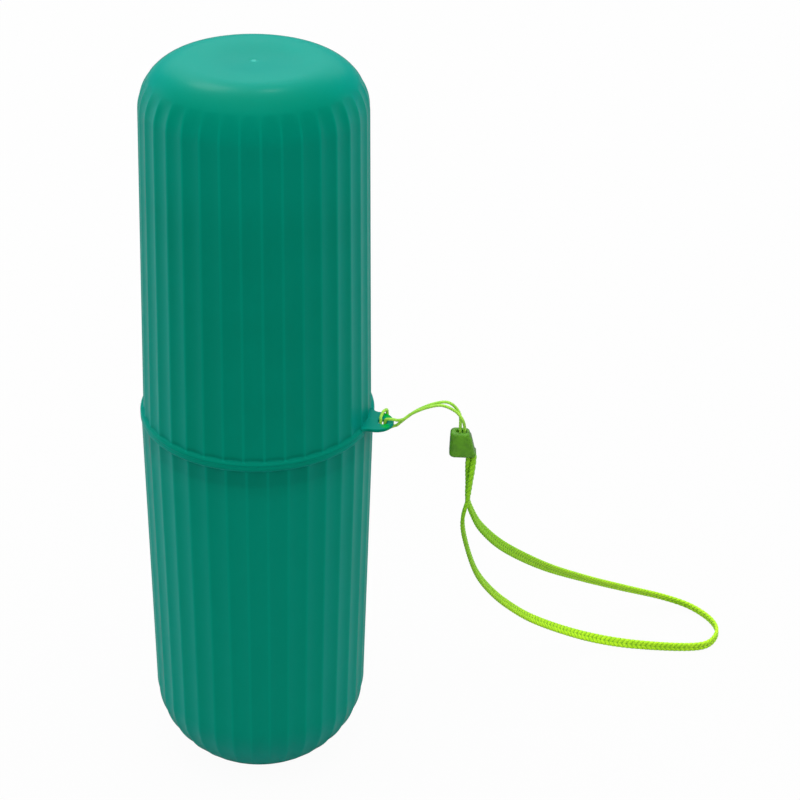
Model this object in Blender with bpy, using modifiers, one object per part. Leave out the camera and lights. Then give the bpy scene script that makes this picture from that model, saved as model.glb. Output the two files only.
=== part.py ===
# A toothbrush case: two fluted plastic cups that plug together mouth to mouth, with a wrist
# lanyard hitched to a lug on the upper cup. Metres, +Z up, the case stands on the origin.

import math

import bmesh
import bpy
from mathutils import Matrix, Vector

MM = 0.001

# The two cups, measured over the ridges of their fluting. The upper cup's wall stands in from
# the lower one's by a small step.
LOWER_HEIGHT = 111.7 * MM
LOWER_MOUTH_RADIUS = 31.4 * MM
LOWER_TAPER = 0.0108
LOWER_CORNER_RADIUS = 24.1 * MM
BASE_FLAT_RADIUS = 17.0 * MM
UPPER_HEIGHT = 98.0 * MM
UPPER_STEP = 0.6 * MM
UPPER_TAPER = 0.0238
UPPER_CORNER_RADIUS = 12.8 * MM
WALL = 1.4 * MM

# The seam: a flange on the upper cup sits on a bead round the lower cup's rim, and a plain
# spigot below the flange plugs into the lower cup's mouth
RIM_PROUD = 0.25 * MM
RIM_EDGE = 0.25 * MM
FLANGE_THICKNESS = 1.05 * MM
BEAD_HEIGHT = 1.2 * MM
SPIGOT_LENGTH = 6.2 * MM
SPIGOT_LEAD = 0.4 * MM
SOCKET_WALL = 1.05 * MM
SOCKET_EXTRA_DEPTH = 0.8 * MM
FIT_CLEARANCE = 0.3 * MM

# The fluting: shallow channels between narrow ridges, which run on round the dome's corner and
# round the base's corner, getting shallower until they end flush
FLUTE_COUNT = 36
FLUTE_DEPTH = 0.4 * MM
RIDGE_SHARE = 1 / 3
CHANNEL_FLOOR_SHARE = 0.28
UPPER_TURN = math.radians(1.5)
LOWER_TURN = math.radians(3)
FLUTE_FADE = 3.0 * MM
FLUTE_TOP_ANGLE = math.radians(46)
FLUTE_FULL_ANGLE = math.radians(18)

# The dished top with the small mark that the moulding gate leaves
DISH_RADIUS = 13.0 * MM
DISH_DEPTH = 0.6 * MM
GATE_RADIUS = 0.7 * MM
GATE_HEIGHT = 0.3 * MM

# The lug that holds the lanyard: a flat tab of the flange with a round end
LUG_WIDTH = 9.6 * MM
LUG_REACH = 6.35 * MM
LUG_THICKNESS = 0.97 * MM
HOLE_DIAMETER = 2.8 * MM
HOLE_TO_TIP = 2.9 * MM

# The lanyard: a thin cord, the ferrule that joins it to the strap, and the flat woven strap
CORD_DIAMETER = 0.85 * MM
CORD_STEP = 1.3 * MM
STRAP_WIDTH = 3.0 * MM
STRAP_THICKNESS = 1.0 * MM
STRAP_STEP = 5.5 * MM
FERRULE_HEIGHT = 7.4 * MM
FERRULE_TOP_WIDTH = 5.3 * MM
FERRULE_BOTTOM_WIDTH = 6.8 * MM
FERRULE_TOP_DEPTH = 4.4 * MM
FERRULE_BOTTOM_DEPTH = 5.0 * MM
FERRULE_LEAN = 0.6 * MM
FERRULE_EDGE = 0.9 * MM
FERRULE_PLACE = (55.9, 4.66, 103.6)
FERRULE_TURN = math.radians(13.5)
CORD_POCKET_DEPTH = 2.9 * MM
CORD_POCKET_OFFSET = -0.1 * MM
STRAP_POCKET_HEIGHT = 4.1 * MM
STRAP_POCKET_START = 0.45 * MM
POCKET_CLEARANCE = 0.35 * MM

# Fineness of the round shapes, and how far a cutter reaches past what it cuts
PLAIN_STEPS = 72
DISH_STEPS = 36
ARC_STEPS = 8
DOME_STEPS = 4
FLUTE_END_STEPS = 6
BORE_ARC_STEPS = 6
LUG_STEPS = 16
HOLE_STEPS = 24
GATE_STEPS = 12
WELD_DISTANCE = 0.01 * MM
CUT_MARGIN = 1.5 * MM

# Levels that follow from the sizes above
UPPER_MOUTH_RADIUS = LOWER_MOUTH_RADIUS - UPPER_STEP
RIM_RADIUS = LOWER_MOUTH_RADIUS + RIM_PROUD
SEAM_Z = LOWER_HEIGHT
FLANGE_Z = SEAM_Z + FIT_CLEARANCE
WALL_START_Z = FLANGE_Z + FLANGE_THICKNESS
TOP_Z = FLANGE_Z + UPPER_HEIGHT
SOCKET_RADIUS = LOWER_MOUTH_RADIUS - SOCKET_WALL
SPIGOT_RADIUS = SOCKET_RADIUS - FIT_CLEARANCE
LUG_TIP = RIM_RADIUS + LUG_REACH
LUG_HOLE = Vector((LUG_TIP - HOLE_TO_TIP, 0, FLANGE_Z + FLANGE_THICKNESS / 2))

# The routes below are given for a lug hole at this place and move with the real one
ROUTE_HOLE = Vector((35.1, 0, 112.525)) * MM

# The cord's route in millimetres. It leaves the ferrule, arches to the lug, lies over the lug's
# tip, goes down the hole and out underneath to the back edge, comes up round that edge and over
# the lug to the hole, goes down it again and back under the tip to its other end.
CORD_ROUTE = (
    (56.53, 4.83, 108.6), (56.5, 4.7, 112.1), (55.77, 3.86, 115.2), (53.72, 3.61, 117.4),
    (50.24, 2.92, 118.8), (46.36, 2.11, 117.85), (42.75, 1.15, 116.0), (40.85, 0.25, 114.5),
    (39.3, 0.14, 113.86), (37.9, 0.25, 113.79), (36.6, -0.05, 113.84), (35.93, -0.17, 113.6),
    (35.7, -0.2, 112.8), (35.7, -0.15, 112.0), (35.65, 0.25, 111.45), (35.5, 1.3, 111.28),
    (35.25, 3.0, 111.25), (35.1, 4.45, 111.22), (35.05, 5.12, 111.62), (34.95, 5.25, 112.5),
    (34.84, 5.2, 113.46), (34.62, 4.42, 113.81), (34.25, 3.2, 113.76), (34.33, 0.64, 113.68),
    (34.49, 0.1, 113.0), (34.5, -0.15, 112.1), (34.6, -0.6, 111.5), (35.1, -1.1, 111.28),
    (36.25, -0.9, 111.2), (37.15, 0.45, 111.17), (37.85, 1.35, 111.18), (38.6, 1.3, 111.55),
    (39.2, 0.98, 112.3), (41.1, 1.8, 114.1), (43.94, 2.75, 116.4), (48.12, 3.76, 118.55),
    (52.0, 4.51, 119.05), (54.78, 5.19, 115.9), (55.35, 4.6, 111.6), (55.36, 4.53, 108.6),
)

# The strap's route in millimetres, from the ferrule down the near side, round the far end on
# the table and back up. The last three numbers are the direction in which its width lies.
STRAP_ROUTE = (
    (58.43, 5.27, 107.0, -0.24, 0.97, 0.0),
    (59.18, 5.45, 103.6, -0.18, 0.99, 0.0),
    (59.28, 5.35, 101.6, -0.03, 1.0, 0.0),
    (59.11, 4.05, 96.5, -0.03, 1.0, 0.0),
    (58.73, 3.34, 90.6, -0.03, 1.0, 0.05),
    (57.4, 4.4, 82.4, -0.13, 0.94, 0.33),
    (57.75, 10.22, 70.6, -0.27, 0.85, 0.44),
    (59.33, 18.76, 56.0, -0.31, 0.8, 0.5),
    (61.85, 29.33, 42.7, -0.31, 0.79, 0.53),
    (66.19, 39.45, 30.7, -0.28, 0.79, 0.54),
    (73.13, 49.53, 19.3, -0.26, 0.79, 0.55),
    (84.65, 60.14, 8.7, -0.18, 0.75, 0.64),
    (96.28, 66.94, 2.9, -0.01, 0.5, 0.86),
    (108.51, 69.96, 1.65, 0.0, 0.18, 0.98),
    (120.73, 72.89, 1.63, 0.0, 0.0, 1.0),
    (126.45, 76.34, 1.63, 0.0, 0.0, 1.0),
    (128.59, 82.39, 1.63, -0.1, 0.0, 1.0),
    (127.36, 87.36, 1.63, -0.14, -0.1, 1.0),
    (123.34, 91.86, 1.65, -0.09, -0.25, 0.95),
    (117.05, 95.1, 2.0, 0.16, -0.38, 0.91),
    (108.19, 93.36, 4.8, 0.46, -0.27, 0.82),
    (96.39, 81.95, 13.8, 0.64, -0.03, 0.77),
    (85.5, 65.96, 26.3, 0.7, 0.12, 0.71),
    (75.08, 47.68, 41.3, 0.57, 0.36, 0.73),
    (65.77, 28.73, 59.0, 0.18, 0.67, 0.7),
    (60.68, 16.89, 72.5, -0.1, 0.8, 0.6),
    (58.54, 10.64, 82.0, -0.2, 0.89, 0.4),
    (57.6, 8.41, 87.9, -0.15, 0.96, 0.22),
    (57.74, 6.81, 95.6, -0.08, 0.99, 0.08),
    (57.93, 5.27, 101.6, -0.03, 1.0, 0.0),
    (57.84, 5.14, 103.6, -0.18, 0.99, 0.0),
    (57.09, 4.95, 107.0, -0.24, 0.97, 0.0),
)


def clear_scene():
    """Empties the scene, so that the script can run again."""
    for thing in list(bpy.data.objects):
        bpy.data.objects.remove(thing)


def make_collection(name):
    """A collection of this name in the scene."""
    made = bpy.data.collections.get(name) or bpy.data.collections.new(name)
    if name not in bpy.context.scene.collection.children:
        bpy.context.scene.collection.children.link(made)
    return made


def plastic(name, colour, roughness):
    """A plain Principled material of this colour, written as linear red, green and blue."""
    material = bpy.data.materials.new(name)
    material.use_nodes = True
    shader = material.node_tree.nodes["Principled BSDF"]
    shader.inputs["Base Color"].default_value = (*colour, 1)
    shader.inputs["Roughness"].default_value = roughness
    shader.inputs["Metallic"].default_value = 0.0
    material.diffuse_color = (*colour, 1)
    return material


def add_part(name, data, material):
    """An object of the case that holds this mesh or curve."""
    thing = bpy.data.objects.new(name, data)
    PARTS.objects.link(thing)
    data.materials.append(material)
    return thing


def add_tool(name, data):
    """A body that only shapes others: it isn't rendered and shows as wire."""
    thing = bpy.data.objects.new(name, data)
    TOOLS.objects.link(thing)
    thing.hide_render = True
    thing.display_type = "WIRE"
    return thing


def combine(target, tool, operation):
    """Adds the tool to the target, or takes it away, with a Boolean modifier."""
    step = target.modifiers.new(tool.name, "BOOLEAN")
    step.operation = operation
    step.solver = "EXACT"
    step.object = tool


def arc(centre_r, centre_z, radius, start, end, count):
    """Points (r, z) on an arc, by angle from the outward direction, positive upward."""
    angles = [start + (end - start) * i / count for i in range(count + 1)]
    return [
        (centre_r + radius * math.cos(a), centre_z + radius * math.sin(a)) for a in angles
    ]


def turned(name, profile, steps):
    """The mesh of a solid turned from a profile of (r, z) that runs from its top axis point
    down the outer side to its bottom axis point."""
    mesh = bpy.data.meshes.new(name + "_profile")
    mesh.from_pydata(
        [(r, 0, z) for r, z in profile], [(i, i + 1) for i in range(len(profile) - 1)], []
    )
    blank = bpy.data.objects.new(name + "_blank", mesh)
    TOOLS.objects.link(blank)
    screw = blank.modifiers.new("Turn", "SCREW")
    screw.axis = "Z"
    screw.angle = math.tau
    screw.steps = steps
    screw.render_steps = steps
    screw.use_merge_vertices = True
    screw.merge_threshold = WELD_DISTANCE
    bpy.context.view_layer.update()
    evaluated = blank.evaluated_get(bpy.context.evaluated_depsgraph_get())
    result = bpy.data.meshes.new_from_object(evaluated)
    result.name = name
    bpy.data.objects.remove(blank)
    return result


def top_dish():
    """A cutter for the shallow dish in the flat of the dome."""
    bowl = [
        (DISH_RADIUS * share, TOP_Z - DISH_DEPTH * (1 - share * share))
        for share in (1.0, 0.75, 0.5, 0.25, 0.0)
    ]
    clear_z = TOP_Z + CUT_MARGIN
    profile = [(0, clear_z), (DISH_RADIUS, clear_z)] + bowl
    return add_tool("top_dish", turned("top_dish", profile, DISH_STEPS))


def top_gate():
    """The stub that the moulding gate leaves in the middle of the dish."""
    centre = Vector((0, 0, TOP_Z - DISH_DEPTH + GATE_HEIGHT - WALL / 2))
    stub = cylinder_mesh("top_gate", GATE_RADIUS, centre, WALL, GATE_STEPS)
    return add_tool("top_gate", stub)


def fluted(name, outline):
    """A turned body whose edges stand where the fluting needs them, and each edge's depth of
    channel: two edges bound a ridge and two the floor of the channel next to it."""
    floor = CHANNEL_FLOOR_SHARE / 2
    stations = (
        (-RIDGE_SHARE / 2, 0.0),
        (RIDGE_SHARE / 2, 0.0),
        (0.5 - floor, FLUTE_DEPTH),
        (0.5 + floor, FLUTE_DEPTH),
    )
    count = len(stations)
    pitch = math.tau / FLUTE_COUNT
    mesh = turned(name, outline, FLUTE_COUNT * count)
    depths = []
    for vertex in mesh.vertices:
        radius = math.hypot(vertex.co.x, vertex.co.y)
        step = round(math.atan2(vertex.co.y, vertex.co.x) / pitch * count)
        share, depth = stations[step % count]
        angle = (step // count + share) * pitch
        vertex.co.x = radius * math.cos(angle)
        vertex.co.y = radius * math.sin(angle)
        depths.append(depth)
    return mesh, depths


def upper_corner():
    """The centre (r, z) of the round corner between the upper cup's wall and its top."""
    corner_z = TOP_Z - UPPER_CORNER_RADIUS
    wall_r = UPPER_MOUTH_RADIUS - UPPER_TAPER * (corner_z - WALL_START_Z)
    return wall_r - UPPER_CORNER_RADIUS / math.cos(math.atan(UPPER_TAPER)), corner_z


def upper_outline():
    """The upper cup's outer profile from the top's centre down into the flange, with the
    dome's corner tangent to the tapered wall."""
    corner_r, corner_z = upper_corner()
    radius = UPPER_CORNER_RADIUS
    lean = math.atan(UPPER_TAPER)
    dome = arc(corner_r, corner_z, radius, math.pi / 2, FLUTE_TOP_ANGLE, DOME_STEPS)
    flute_ends = arc(corner_r, corner_z, radius, FLUTE_TOP_ANGLE, lean, FLUTE_END_STEPS)[1:]
    foot_z = FLANGE_Z + FLANGE_THICKNESS / 2
    foot_r = UPPER_MOUTH_RADIUS + UPPER_TAPER * (WALL_START_Z - foot_z)
    return [(0, TOP_Z)] + dome + flute_ends + [(foot_r, foot_z), (0, foot_z)]


def flute_upper(mesh, depths):
    """Presses the channels into the upper cup. They follow the wall and the dome's corner and
    get shallower until they end flush part way up the corner."""
    corner_r, corner_z = upper_corner()
    fade_angle = FLUTE_TOP_ANGLE - FLUTE_FULL_ANGLE
    for vertex, full_depth in zip(mesh.vertices, depths):
        radius = math.hypot(vertex.co.x, vertex.co.y)
        if radius <= corner_r:
            continue
        outward = Vector((radius - corner_r, max(0.0, vertex.co.z - corner_z))).normalized()
        angle = math.atan2(outward.y, outward.x)
        depth = full_depth * min(1.0, max(0.0, (FLUTE_TOP_ANGLE - angle) / fade_angle))
        pressed = radius - outward.x * depth
        vertex.co.z -= outward.y * depth
        vertex.co.x *= pressed / radius
        vertex.co.y *= pressed / radius


def lower_corner():
    """The centre (r, z) of the round corner between the lower cup's wall and its base."""
    lean = math.atan(LOWER_TAPER)
    foot_angle = math.asin(
        (BASE_FLAT_RADIUS - lower_corner_r(lean)) / LOWER_CORNER_RADIUS
    )
    return lower_corner_r(lean), LOWER_CORNER_RADIUS * math.cos(foot_angle)


def lower_corner_r(lean):
    """How far the corner's centre is from the axis."""
    wall_r = LOWER_MOUTH_RADIUS - LOWER_TAPER * (LOWER_HEIGHT - LOWER_CORNER_RADIUS)
    return wall_r - LOWER_CORNER_RADIUS / math.cos(lean)


def lower_outline():
    """The lower cup's outer profile from its rim's centre down the wall and round to the
    flat base that it stands on."""
    lean = math.atan(LOWER_TAPER)
    corner_r, corner_z = lower_corner()
    foot_angle = math.asin((BASE_FLAT_RADIUS - corner_r) / LOWER_CORNER_RADIUS)
    rim_z = SEAM_Z - BEAD_HEIGHT / 2
    corner = arc(
        corner_r, corner_z, LOWER_CORNER_RADIUS, -lean, foot_angle - math.pi / 2, ARC_STEPS
    )
    return (
        [(0, rim_z), (LOWER_MOUTH_RADIUS - LOWER_TAPER * BEAD_HEIGHT / 2, rim_z)]
        + corner
        + [(0, 0)]
    )


def flute_lower(mesh, depths):
    """Presses the channels into the lower cup. They follow the wall and its round corner and
    fade out just before the flat of the base."""
    corner_r, corner_z = lower_corner()
    lean = math.atan(LOWER_TAPER)
    for vertex, full_depth in zip(mesh.vertices, depths):
        radius = math.hypot(vertex.co.x, vertex.co.y)
        fade = min(1.0, max(0.0, (radius - BASE_FLAT_RADIUS) / FLUTE_FADE))
        if fade == 0.0:
            continue
        depth = full_depth * fade
        inward = Vector((radius - corner_r, vertex.co.z - corner_z)).normalized()
        if vertex.co.z > corner_z - LOWER_CORNER_RADIUS * math.sin(lean):
            inward = Vector((1.0, 0.0))
        pressed = radius - inward.x * depth
        vertex.co.z -= inward.y * depth
        vertex.co.x *= pressed / radius
        vertex.co.y *= pressed / radius


def upper_bore():
    """The upper cup's inside: open at the mouth, with a round corner at the closed end."""
    lean = math.atan(UPPER_TAPER)
    radius = UPPER_CORNER_RADIUS - WALL
    ceiling_z = TOP_Z - DISH_DEPTH - WALL
    corner_z = ceiling_z - radius
    wall_r = UPPER_MOUTH_RADIUS - WALL - UPPER_TAPER * (corner_z - WALL_START_Z)
    corner_r = wall_r - radius / math.cos(lean)
    corner = arc(corner_r, corner_z, radius, math.pi / 2, lean, BORE_ARC_STEPS)
    mouth_r = UPPER_MOUTH_RADIUS - WALL
    below_z = SEAM_Z - SPIGOT_LENGTH - CUT_MARGIN
    return [(0, ceiling_z)] + corner + [(mouth_r, WALL_START_Z), (mouth_r, below_z), (0, below_z)]


def lower_bore():
    """The lower cup's inside: a socket for the spigot at the mouth, then the tapered wall and
    a round corner down to the floor."""
    lean = math.atan(LOWER_TAPER)
    radius = LOWER_CORNER_RADIUS - WALL
    outer_r, outer_z = lower_corner()
    foot_angle = math.acos((outer_z - WALL) / radius)
    corner = arc(outer_r, outer_z, radius, -lean, foot_angle - math.pi / 2, BORE_ARC_STEPS)
    step_z = SEAM_Z - SPIGOT_LENGTH - SOCKET_EXTRA_DEPTH
    step_r = LOWER_MOUTH_RADIUS - WALL - LOWER_TAPER * (SEAM_Z - step_z)
    above_z = SEAM_Z + CUT_MARGIN
    return (
        [(0, above_z), (SOCKET_RADIUS, above_z), (SOCKET_RADIUS, step_z + WALL), (step_r, step_z)]
        + corner
        + [(0, WALL)]
    )


def rim_disc(top_z, thickness):
    """A disc with softened edges: the flange of the upper cup or the bead of the lower."""
    bottom_z = top_z - thickness
    return [
        (0, top_z),
        (RIM_RADIUS - RIM_EDGE, top_z),
        (RIM_RADIUS, top_z - RIM_EDGE),
        (RIM_RADIUS, bottom_z + RIM_EDGE),
        (RIM_RADIUS - RIM_EDGE, bottom_z),
        (0, bottom_z),
    ]


def lug_outline():
    """A flat curve round the lug: straight sides out of the flange and a round end."""
    half = LUG_WIDTH / 2
    end_x = LUG_TIP - half
    points = [(RIM_RADIUS - LUG_REACH, -half)]
    for i in range(LUG_STEPS + 1):
        angle = math.pi * (i / LUG_STEPS - 0.5)
        points.append((end_x + half * math.cos(angle), half * math.sin(angle)))
    points.append((RIM_RADIUS - LUG_REACH, half))
    curve = bpy.data.curves.new("lug_outline", "CURVE")
    curve.dimensions = "2D"
    curve.fill_mode = "BOTH"
    curve.extrude = LUG_THICKNESS / 2
    spline = curve.splines.new("POLY")
    spline.points.add(len(points) - 1)
    for point, (x, y) in zip(spline.points, points):
        point.co = (x, y, 0, 1)
    spline.use_cyclic_u = True
    return curve


def curve_to_mesh(curve, place):
    """The closed mesh of a curve set at this place, its loose caps welded on."""
    thing = bpy.data.objects.new(curve.name, curve)
    TOOLS.objects.link(thing)
    thing.matrix_world = place
    bpy.context.view_layer.update()
    mesh = bpy.data.meshes.new_from_object(
        thing.evaluated_get(bpy.context.evaluated_depsgraph_get())
    )
    mesh.transform(place)
    bpy.data.objects.remove(thing)
    shape = bmesh.new()
    shape.from_mesh(mesh)
    bmesh.ops.remove_doubles(shape, verts=shape.verts, dist=WELD_DISTANCE)
    bmesh.ops.recalc_face_normals(shape, faces=shape.faces)
    shape.to_mesh(mesh)
    shape.free()
    return mesh


def cylinder_mesh(name, radius, centre, height, sides):
    """An upright cylinder as a mesh."""
    mesh = bpy.data.meshes.new(name)
    shape = bmesh.new()
    bmesh.ops.create_cone(
        shape,
        cap_ends=True,
        segments=sides,
        radius1=radius,
        radius2=radius,
        depth=height,
        matrix=Matrix.Translation(centre),
    )
    shape.to_mesh(mesh)
    shape.free()
    return mesh


def soften(thing, angle=35):
    """Shades a round piece smooth, with its real edges kept sharp."""
    thing.data.shade_smooth()
    thing.data.set_sharp_from_angle(angle=math.radians(angle))


def make_upper_cup(material):
    """The cover: fluted cup, flange with its lug, and the spigot that plugs in below."""
    mesh, depths = fluted("upper_cup", upper_outline())
    flute_upper(mesh, depths)
    mesh.transform(Matrix.Rotation(UPPER_TURN, 4, "Z"))
    cup = add_part("upper_cup", mesh, material)
    soften(cup)
    flange_top = FLANGE_Z + FLANGE_THICKNESS
    flange = add_tool(
        "flange", turned("flange", rim_disc(flange_top, FLANGE_THICKNESS), PLAIN_STEPS)
    )
    lug_place = Matrix.Translation((0, 0, FLANGE_Z + FLANGE_THICKNESS / 2))
    lug = add_tool("lug", curve_to_mesh(lug_outline(), lug_place))
    spigot_top = FLANGE_Z + FLANGE_THICKNESS / 3
    spigot_bottom = SEAM_Z - SPIGOT_LENGTH
    spigot_profile = [
        (0, spigot_top),
        (SPIGOT_RADIUS, spigot_top),
        (SPIGOT_RADIUS, spigot_bottom + SPIGOT_LEAD * 2),
        (SPIGOT_RADIUS - SPIGOT_LEAD, spigot_bottom),
        (0, spigot_bottom),
    ]
    spigot = add_tool("spigot", turned("spigot", spigot_profile, PLAIN_STEPS))
    bore = add_tool("upper_bore", turned("upper_bore", upper_bore(), PLAIN_STEPS))
    hole = add_tool(
        "lug_hole",
        cylinder_mesh(
            "lug_hole", HOLE_DIAMETER / 2, LUG_HOLE, LUG_THICKNESS + CUT_MARGIN, HOLE_STEPS
        ),
    )
    combine(cup, flange, "UNION")
    combine(cup, lug, "UNION")
    combine(cup, spigot, "UNION")
    combine(cup, bore, "DIFFERENCE")
    combine(cup, hole, "DIFFERENCE")
    combine(cup, top_dish(), "DIFFERENCE")
    combine(cup, top_gate(), "UNION")
    return cup


def make_lower_cup(material):
    """The body that stands on the table: fluted cup with a bead round its rim."""
    mesh, depths = fluted("lower_cup", lower_outline())
    flute_lower(mesh, depths)
    mesh.transform(Matrix.Rotation(LOWER_TURN, 4, "Z"))
    cup = add_part("lower_cup", mesh, material)
    soften(cup)
    bead = add_tool("bead", turned("bead", rim_disc(SEAM_Z, BEAD_HEIGHT), PLAIN_STEPS))
    bore = add_tool("lower_bore", turned("lower_bore", lower_bore(), PLAIN_STEPS))
    combine(cup, bead, "UNION")
    combine(cup, bore, "DIFFERENCE")
    return cup


def place_of(point):
    """The place that a route point's first three numbers give."""
    return Vector(point[:3])


def with_lug(route):
    """The points of a route, in millimetres, moved with the lug's hole. A place keeps its share
    of the hole's height over the table, so that what lies on the table stays there."""
    shift = (LUG_HOLE - ROUTE_HOLE) / MM
    lift = LUG_HOLE.z / ROUTE_HOLE.z
    return [Vector((x + shift.x, y + shift.y, z * lift, *more)) for x, y, z, *more in route]


def smooth_line(route, step):
    """Points about a step apart on a smooth curve through the route's points, each a vector
    with as many numbers as a route point has."""
    points = with_lug(route)
    before = points[0] * 2 - points[1]
    after = points[-1] * 2 - points[-2]
    chain = [before, *points, after]
    line = []
    for i in range(1, len(chain) - 2):
        a, b, c, d = chain[i - 1 : i + 3]
        pieces = max(1, round((place_of(c) - place_of(b)).length / step))
        for j in range(pieces):
            t = j / pieces
            line.append(
                (b * 2 + (c - a) * t + (a * 2 - b * 5 + c * 4 - d) * t**2
                 + (b * 3 - a - c * 3 + d) * t**3) / 2
            )
    line.append(points[-1])
    return line


def route_length(line):
    """The length of a line of points."""
    return sum((place_of(b) - place_of(a)).length for a, b in zip(line, line[1:]))


def make_cord(material):
    """The thin cord, one tube from the ferrule through the hitch and back to the ferrule."""
    line = smooth_line(CORD_ROUTE, CORD_STEP / MM)
    curve = bpy.data.curves.new("lanyard_cord", "CURVE")
    curve.dimensions = "3D"
    curve.bevel_depth = CORD_DIAMETER / 2
    curve.bevel_resolution = 2
    curve.use_fill_caps = True
    spline = curve.splines.new("POLY")
    spline.points.add(len(line) - 1)
    for point, place in zip(spline.points, line):
        point.co = (*(place * MM), 1)
    print("cord length in mm:", round(route_length(line), 1), "points:", len(line))
    return add_part("lanyard_cord", curve, material)


def strap_section():
    """The strap's cross-section: a flat band with round edges, as (across, through) pairs."""
    flat = STRAP_WIDTH / 2 - STRAP_THICKNESS / 2
    half = STRAP_THICKNESS / 2
    section = []
    for side, start in ((1, -90), (-1, 90)):
        for i in range(5):
            angle = math.radians(start + 45 * i)
            section.append((side * flat + half * math.cos(angle), half * math.sin(angle)))
    return section


def make_strap(material):
    """The flat strap, lofted along its route with its width turned as the route says."""
    line = smooth_line(STRAP_ROUTE, STRAP_STEP / MM)
    section = strap_section()
    shape = bmesh.new()
    rings = []
    for i, place in enumerate(line):
        ahead = place_of(line[min(i + 1, len(line) - 1)])
        behind = place_of(line[max(i - 1, 0)])
        along = (ahead - behind).normalized()
        across = Vector(place[3:])
        across = (across - along * across.dot(along)).normalized()
        through = along.cross(across)
        centre = place_of(place) * MM
        rings.append([shape.verts.new(centre + across * a + through * b) for a, b in section])
    count = len(section)
    for ring, following in zip(rings, rings[1:]):
        for k in range(count):
            n = (k + 1) % count
            shape.faces.new((ring[k], ring[n], following[n], following[k]))
    shape.faces.new(rings[0])
    shape.faces.new(rings[-1])
    bmesh.ops.recalc_face_normals(shape, faces=shape.faces)
    mesh = bpy.data.meshes.new("wrist_strap")
    shape.to_mesh(mesh)
    shape.free()
    print("strap length in mm:", round(route_length(line), 1), "rings:", len(rings))
    strap = add_part("wrist_strap", mesh, material)
    soften(strap, 50)
    return strap


def box_mesh(name, low, high, top_scale=(1, 1), top_shift=0):
    """A box between two corners, its top face scaled about the middle and shifted along X."""
    mesh = bpy.data.meshes.new(name)
    shape = bmesh.new()
    bmesh.ops.create_cube(shape, size=1)
    low = Vector(low)
    size = Vector(high) - low
    middle = low + size / 2
    for vertex in shape.verts:
        scale = top_scale if vertex.co.z > 0 else (1, 1)
        shift = top_shift if vertex.co.z > 0 else 0
        vertex.co = (
            middle.x + vertex.co.x * size.x * scale[0] + shift,
            middle.y + vertex.co.y * size.y * scale[1],
            middle.z + vertex.co.z * size.z,
        )
    shape.to_mesh(mesh)
    shape.free()
    return mesh


def make_ferrule(material):
    """The ferrule: a tapered block with a pocket on top for the cord's two ends and one
    below, open to the side, for the strap's two ends."""
    bottom = with_lug([FERRULE_PLACE])[0] * MM
    place = Matrix.Translation(bottom) @ Matrix.Rotation(FERRULE_TURN, 4, "Z")
    half_width = FERRULE_BOTTOM_WIDTH / 2
    half_depth = FERRULE_BOTTOM_DEPTH / 2
    block = box_mesh(
        "cord_ferrule",
        (-half_width, -half_depth, 0),
        (half_width, half_depth, FERRULE_HEIGHT),
        (FERRULE_TOP_WIDTH / FERRULE_BOTTOM_WIDTH, FERRULE_TOP_DEPTH / FERRULE_BOTTOM_DEPTH),
        -FERRULE_LEAN,
    )
    ferrule = add_part("cord_ferrule", block, material)
    ferrule.matrix_world = place
    bevel = ferrule.modifiers.new("Rounded edges", "BEVEL")
    bevel.width = FERRULE_EDGE
    bevel.segments = 3
    bevel.limit_method = "ANGLE"
    # The cord's pocket takes both ends side by side, with room beside and between them
    cord_half_x = CORD_DIAMETER + POCKET_CLEARANCE * 2
    cord_half_y = CORD_DIAMETER / 2 + POCKET_CLEARANCE
    cord_pocket = add_tool(
        "cord_pocket",
        box_mesh(
            "cord_pocket",
            (CORD_POCKET_OFFSET - cord_half_x, -cord_half_y, FERRULE_HEIGHT - CORD_POCKET_DEPTH),
            (CORD_POCKET_OFFSET + cord_half_x, cord_half_y, FERRULE_HEIGHT + CUT_MARGIN),
        ),
    )
    strap_half_y = STRAP_WIDTH / 2 + POCKET_CLEARANCE
    strap_pocket = add_tool(
        "strap_pocket",
        box_mesh(
            "strap_pocket",
            (STRAP_POCKET_START, -strap_half_y, -CUT_MARGIN),
            (half_width + CUT_MARGIN, strap_half_y, STRAP_POCKET_HEIGHT),
        ),
    )
    for pocket in (cord_pocket, strap_pocket):
        pocket.matrix_world = place
        combine(ferrule, pocket, "DIFFERENCE")
    soften(ferrule)
    return ferrule


clear_scene()
PARTS = make_collection("toothbrush_case")
TOOLS = make_collection("shaping_tools")
TEAL = plastic("teal_plastic", (0.001, 0.19, 0.13), 0.42)
CORD_LIME = plastic("lime_cord", (0.30, 0.79, 0.03), 0.6)
STRAP_LIME = plastic("lime_weave", (0.30, 0.79, 0.03), 0.8)
FERRULE_GREEN = plastic("green_plastic", (0.08, 0.26, 0.03), 0.5)

make_lower_cup(TEAL)
make_upper_cup(TEAL)
make_cord(CORD_LIME)
make_ferrule(FERRULE_GREEN)
make_strap(STRAP_LIME)
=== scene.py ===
# %% [markdown]
# # A toothbrush case with a wrist lanyard
#
# The real object is two thin cups of satin polypropylene, plugged together mouth to mouth, with a
# thin cord hitched to a small lug, a soft ferrule and a flat woven strap. The solid model of it is
# loaded first, as a fixed frame in metres: +Z is up and the base stands on the origin. Every piece
# below is laid over that frame, so that nothing has to be fitted by eye.

# %% Load the solid model
import math

import bmesh
import bpy
import numpy as np
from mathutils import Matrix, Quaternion, Vector


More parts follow.
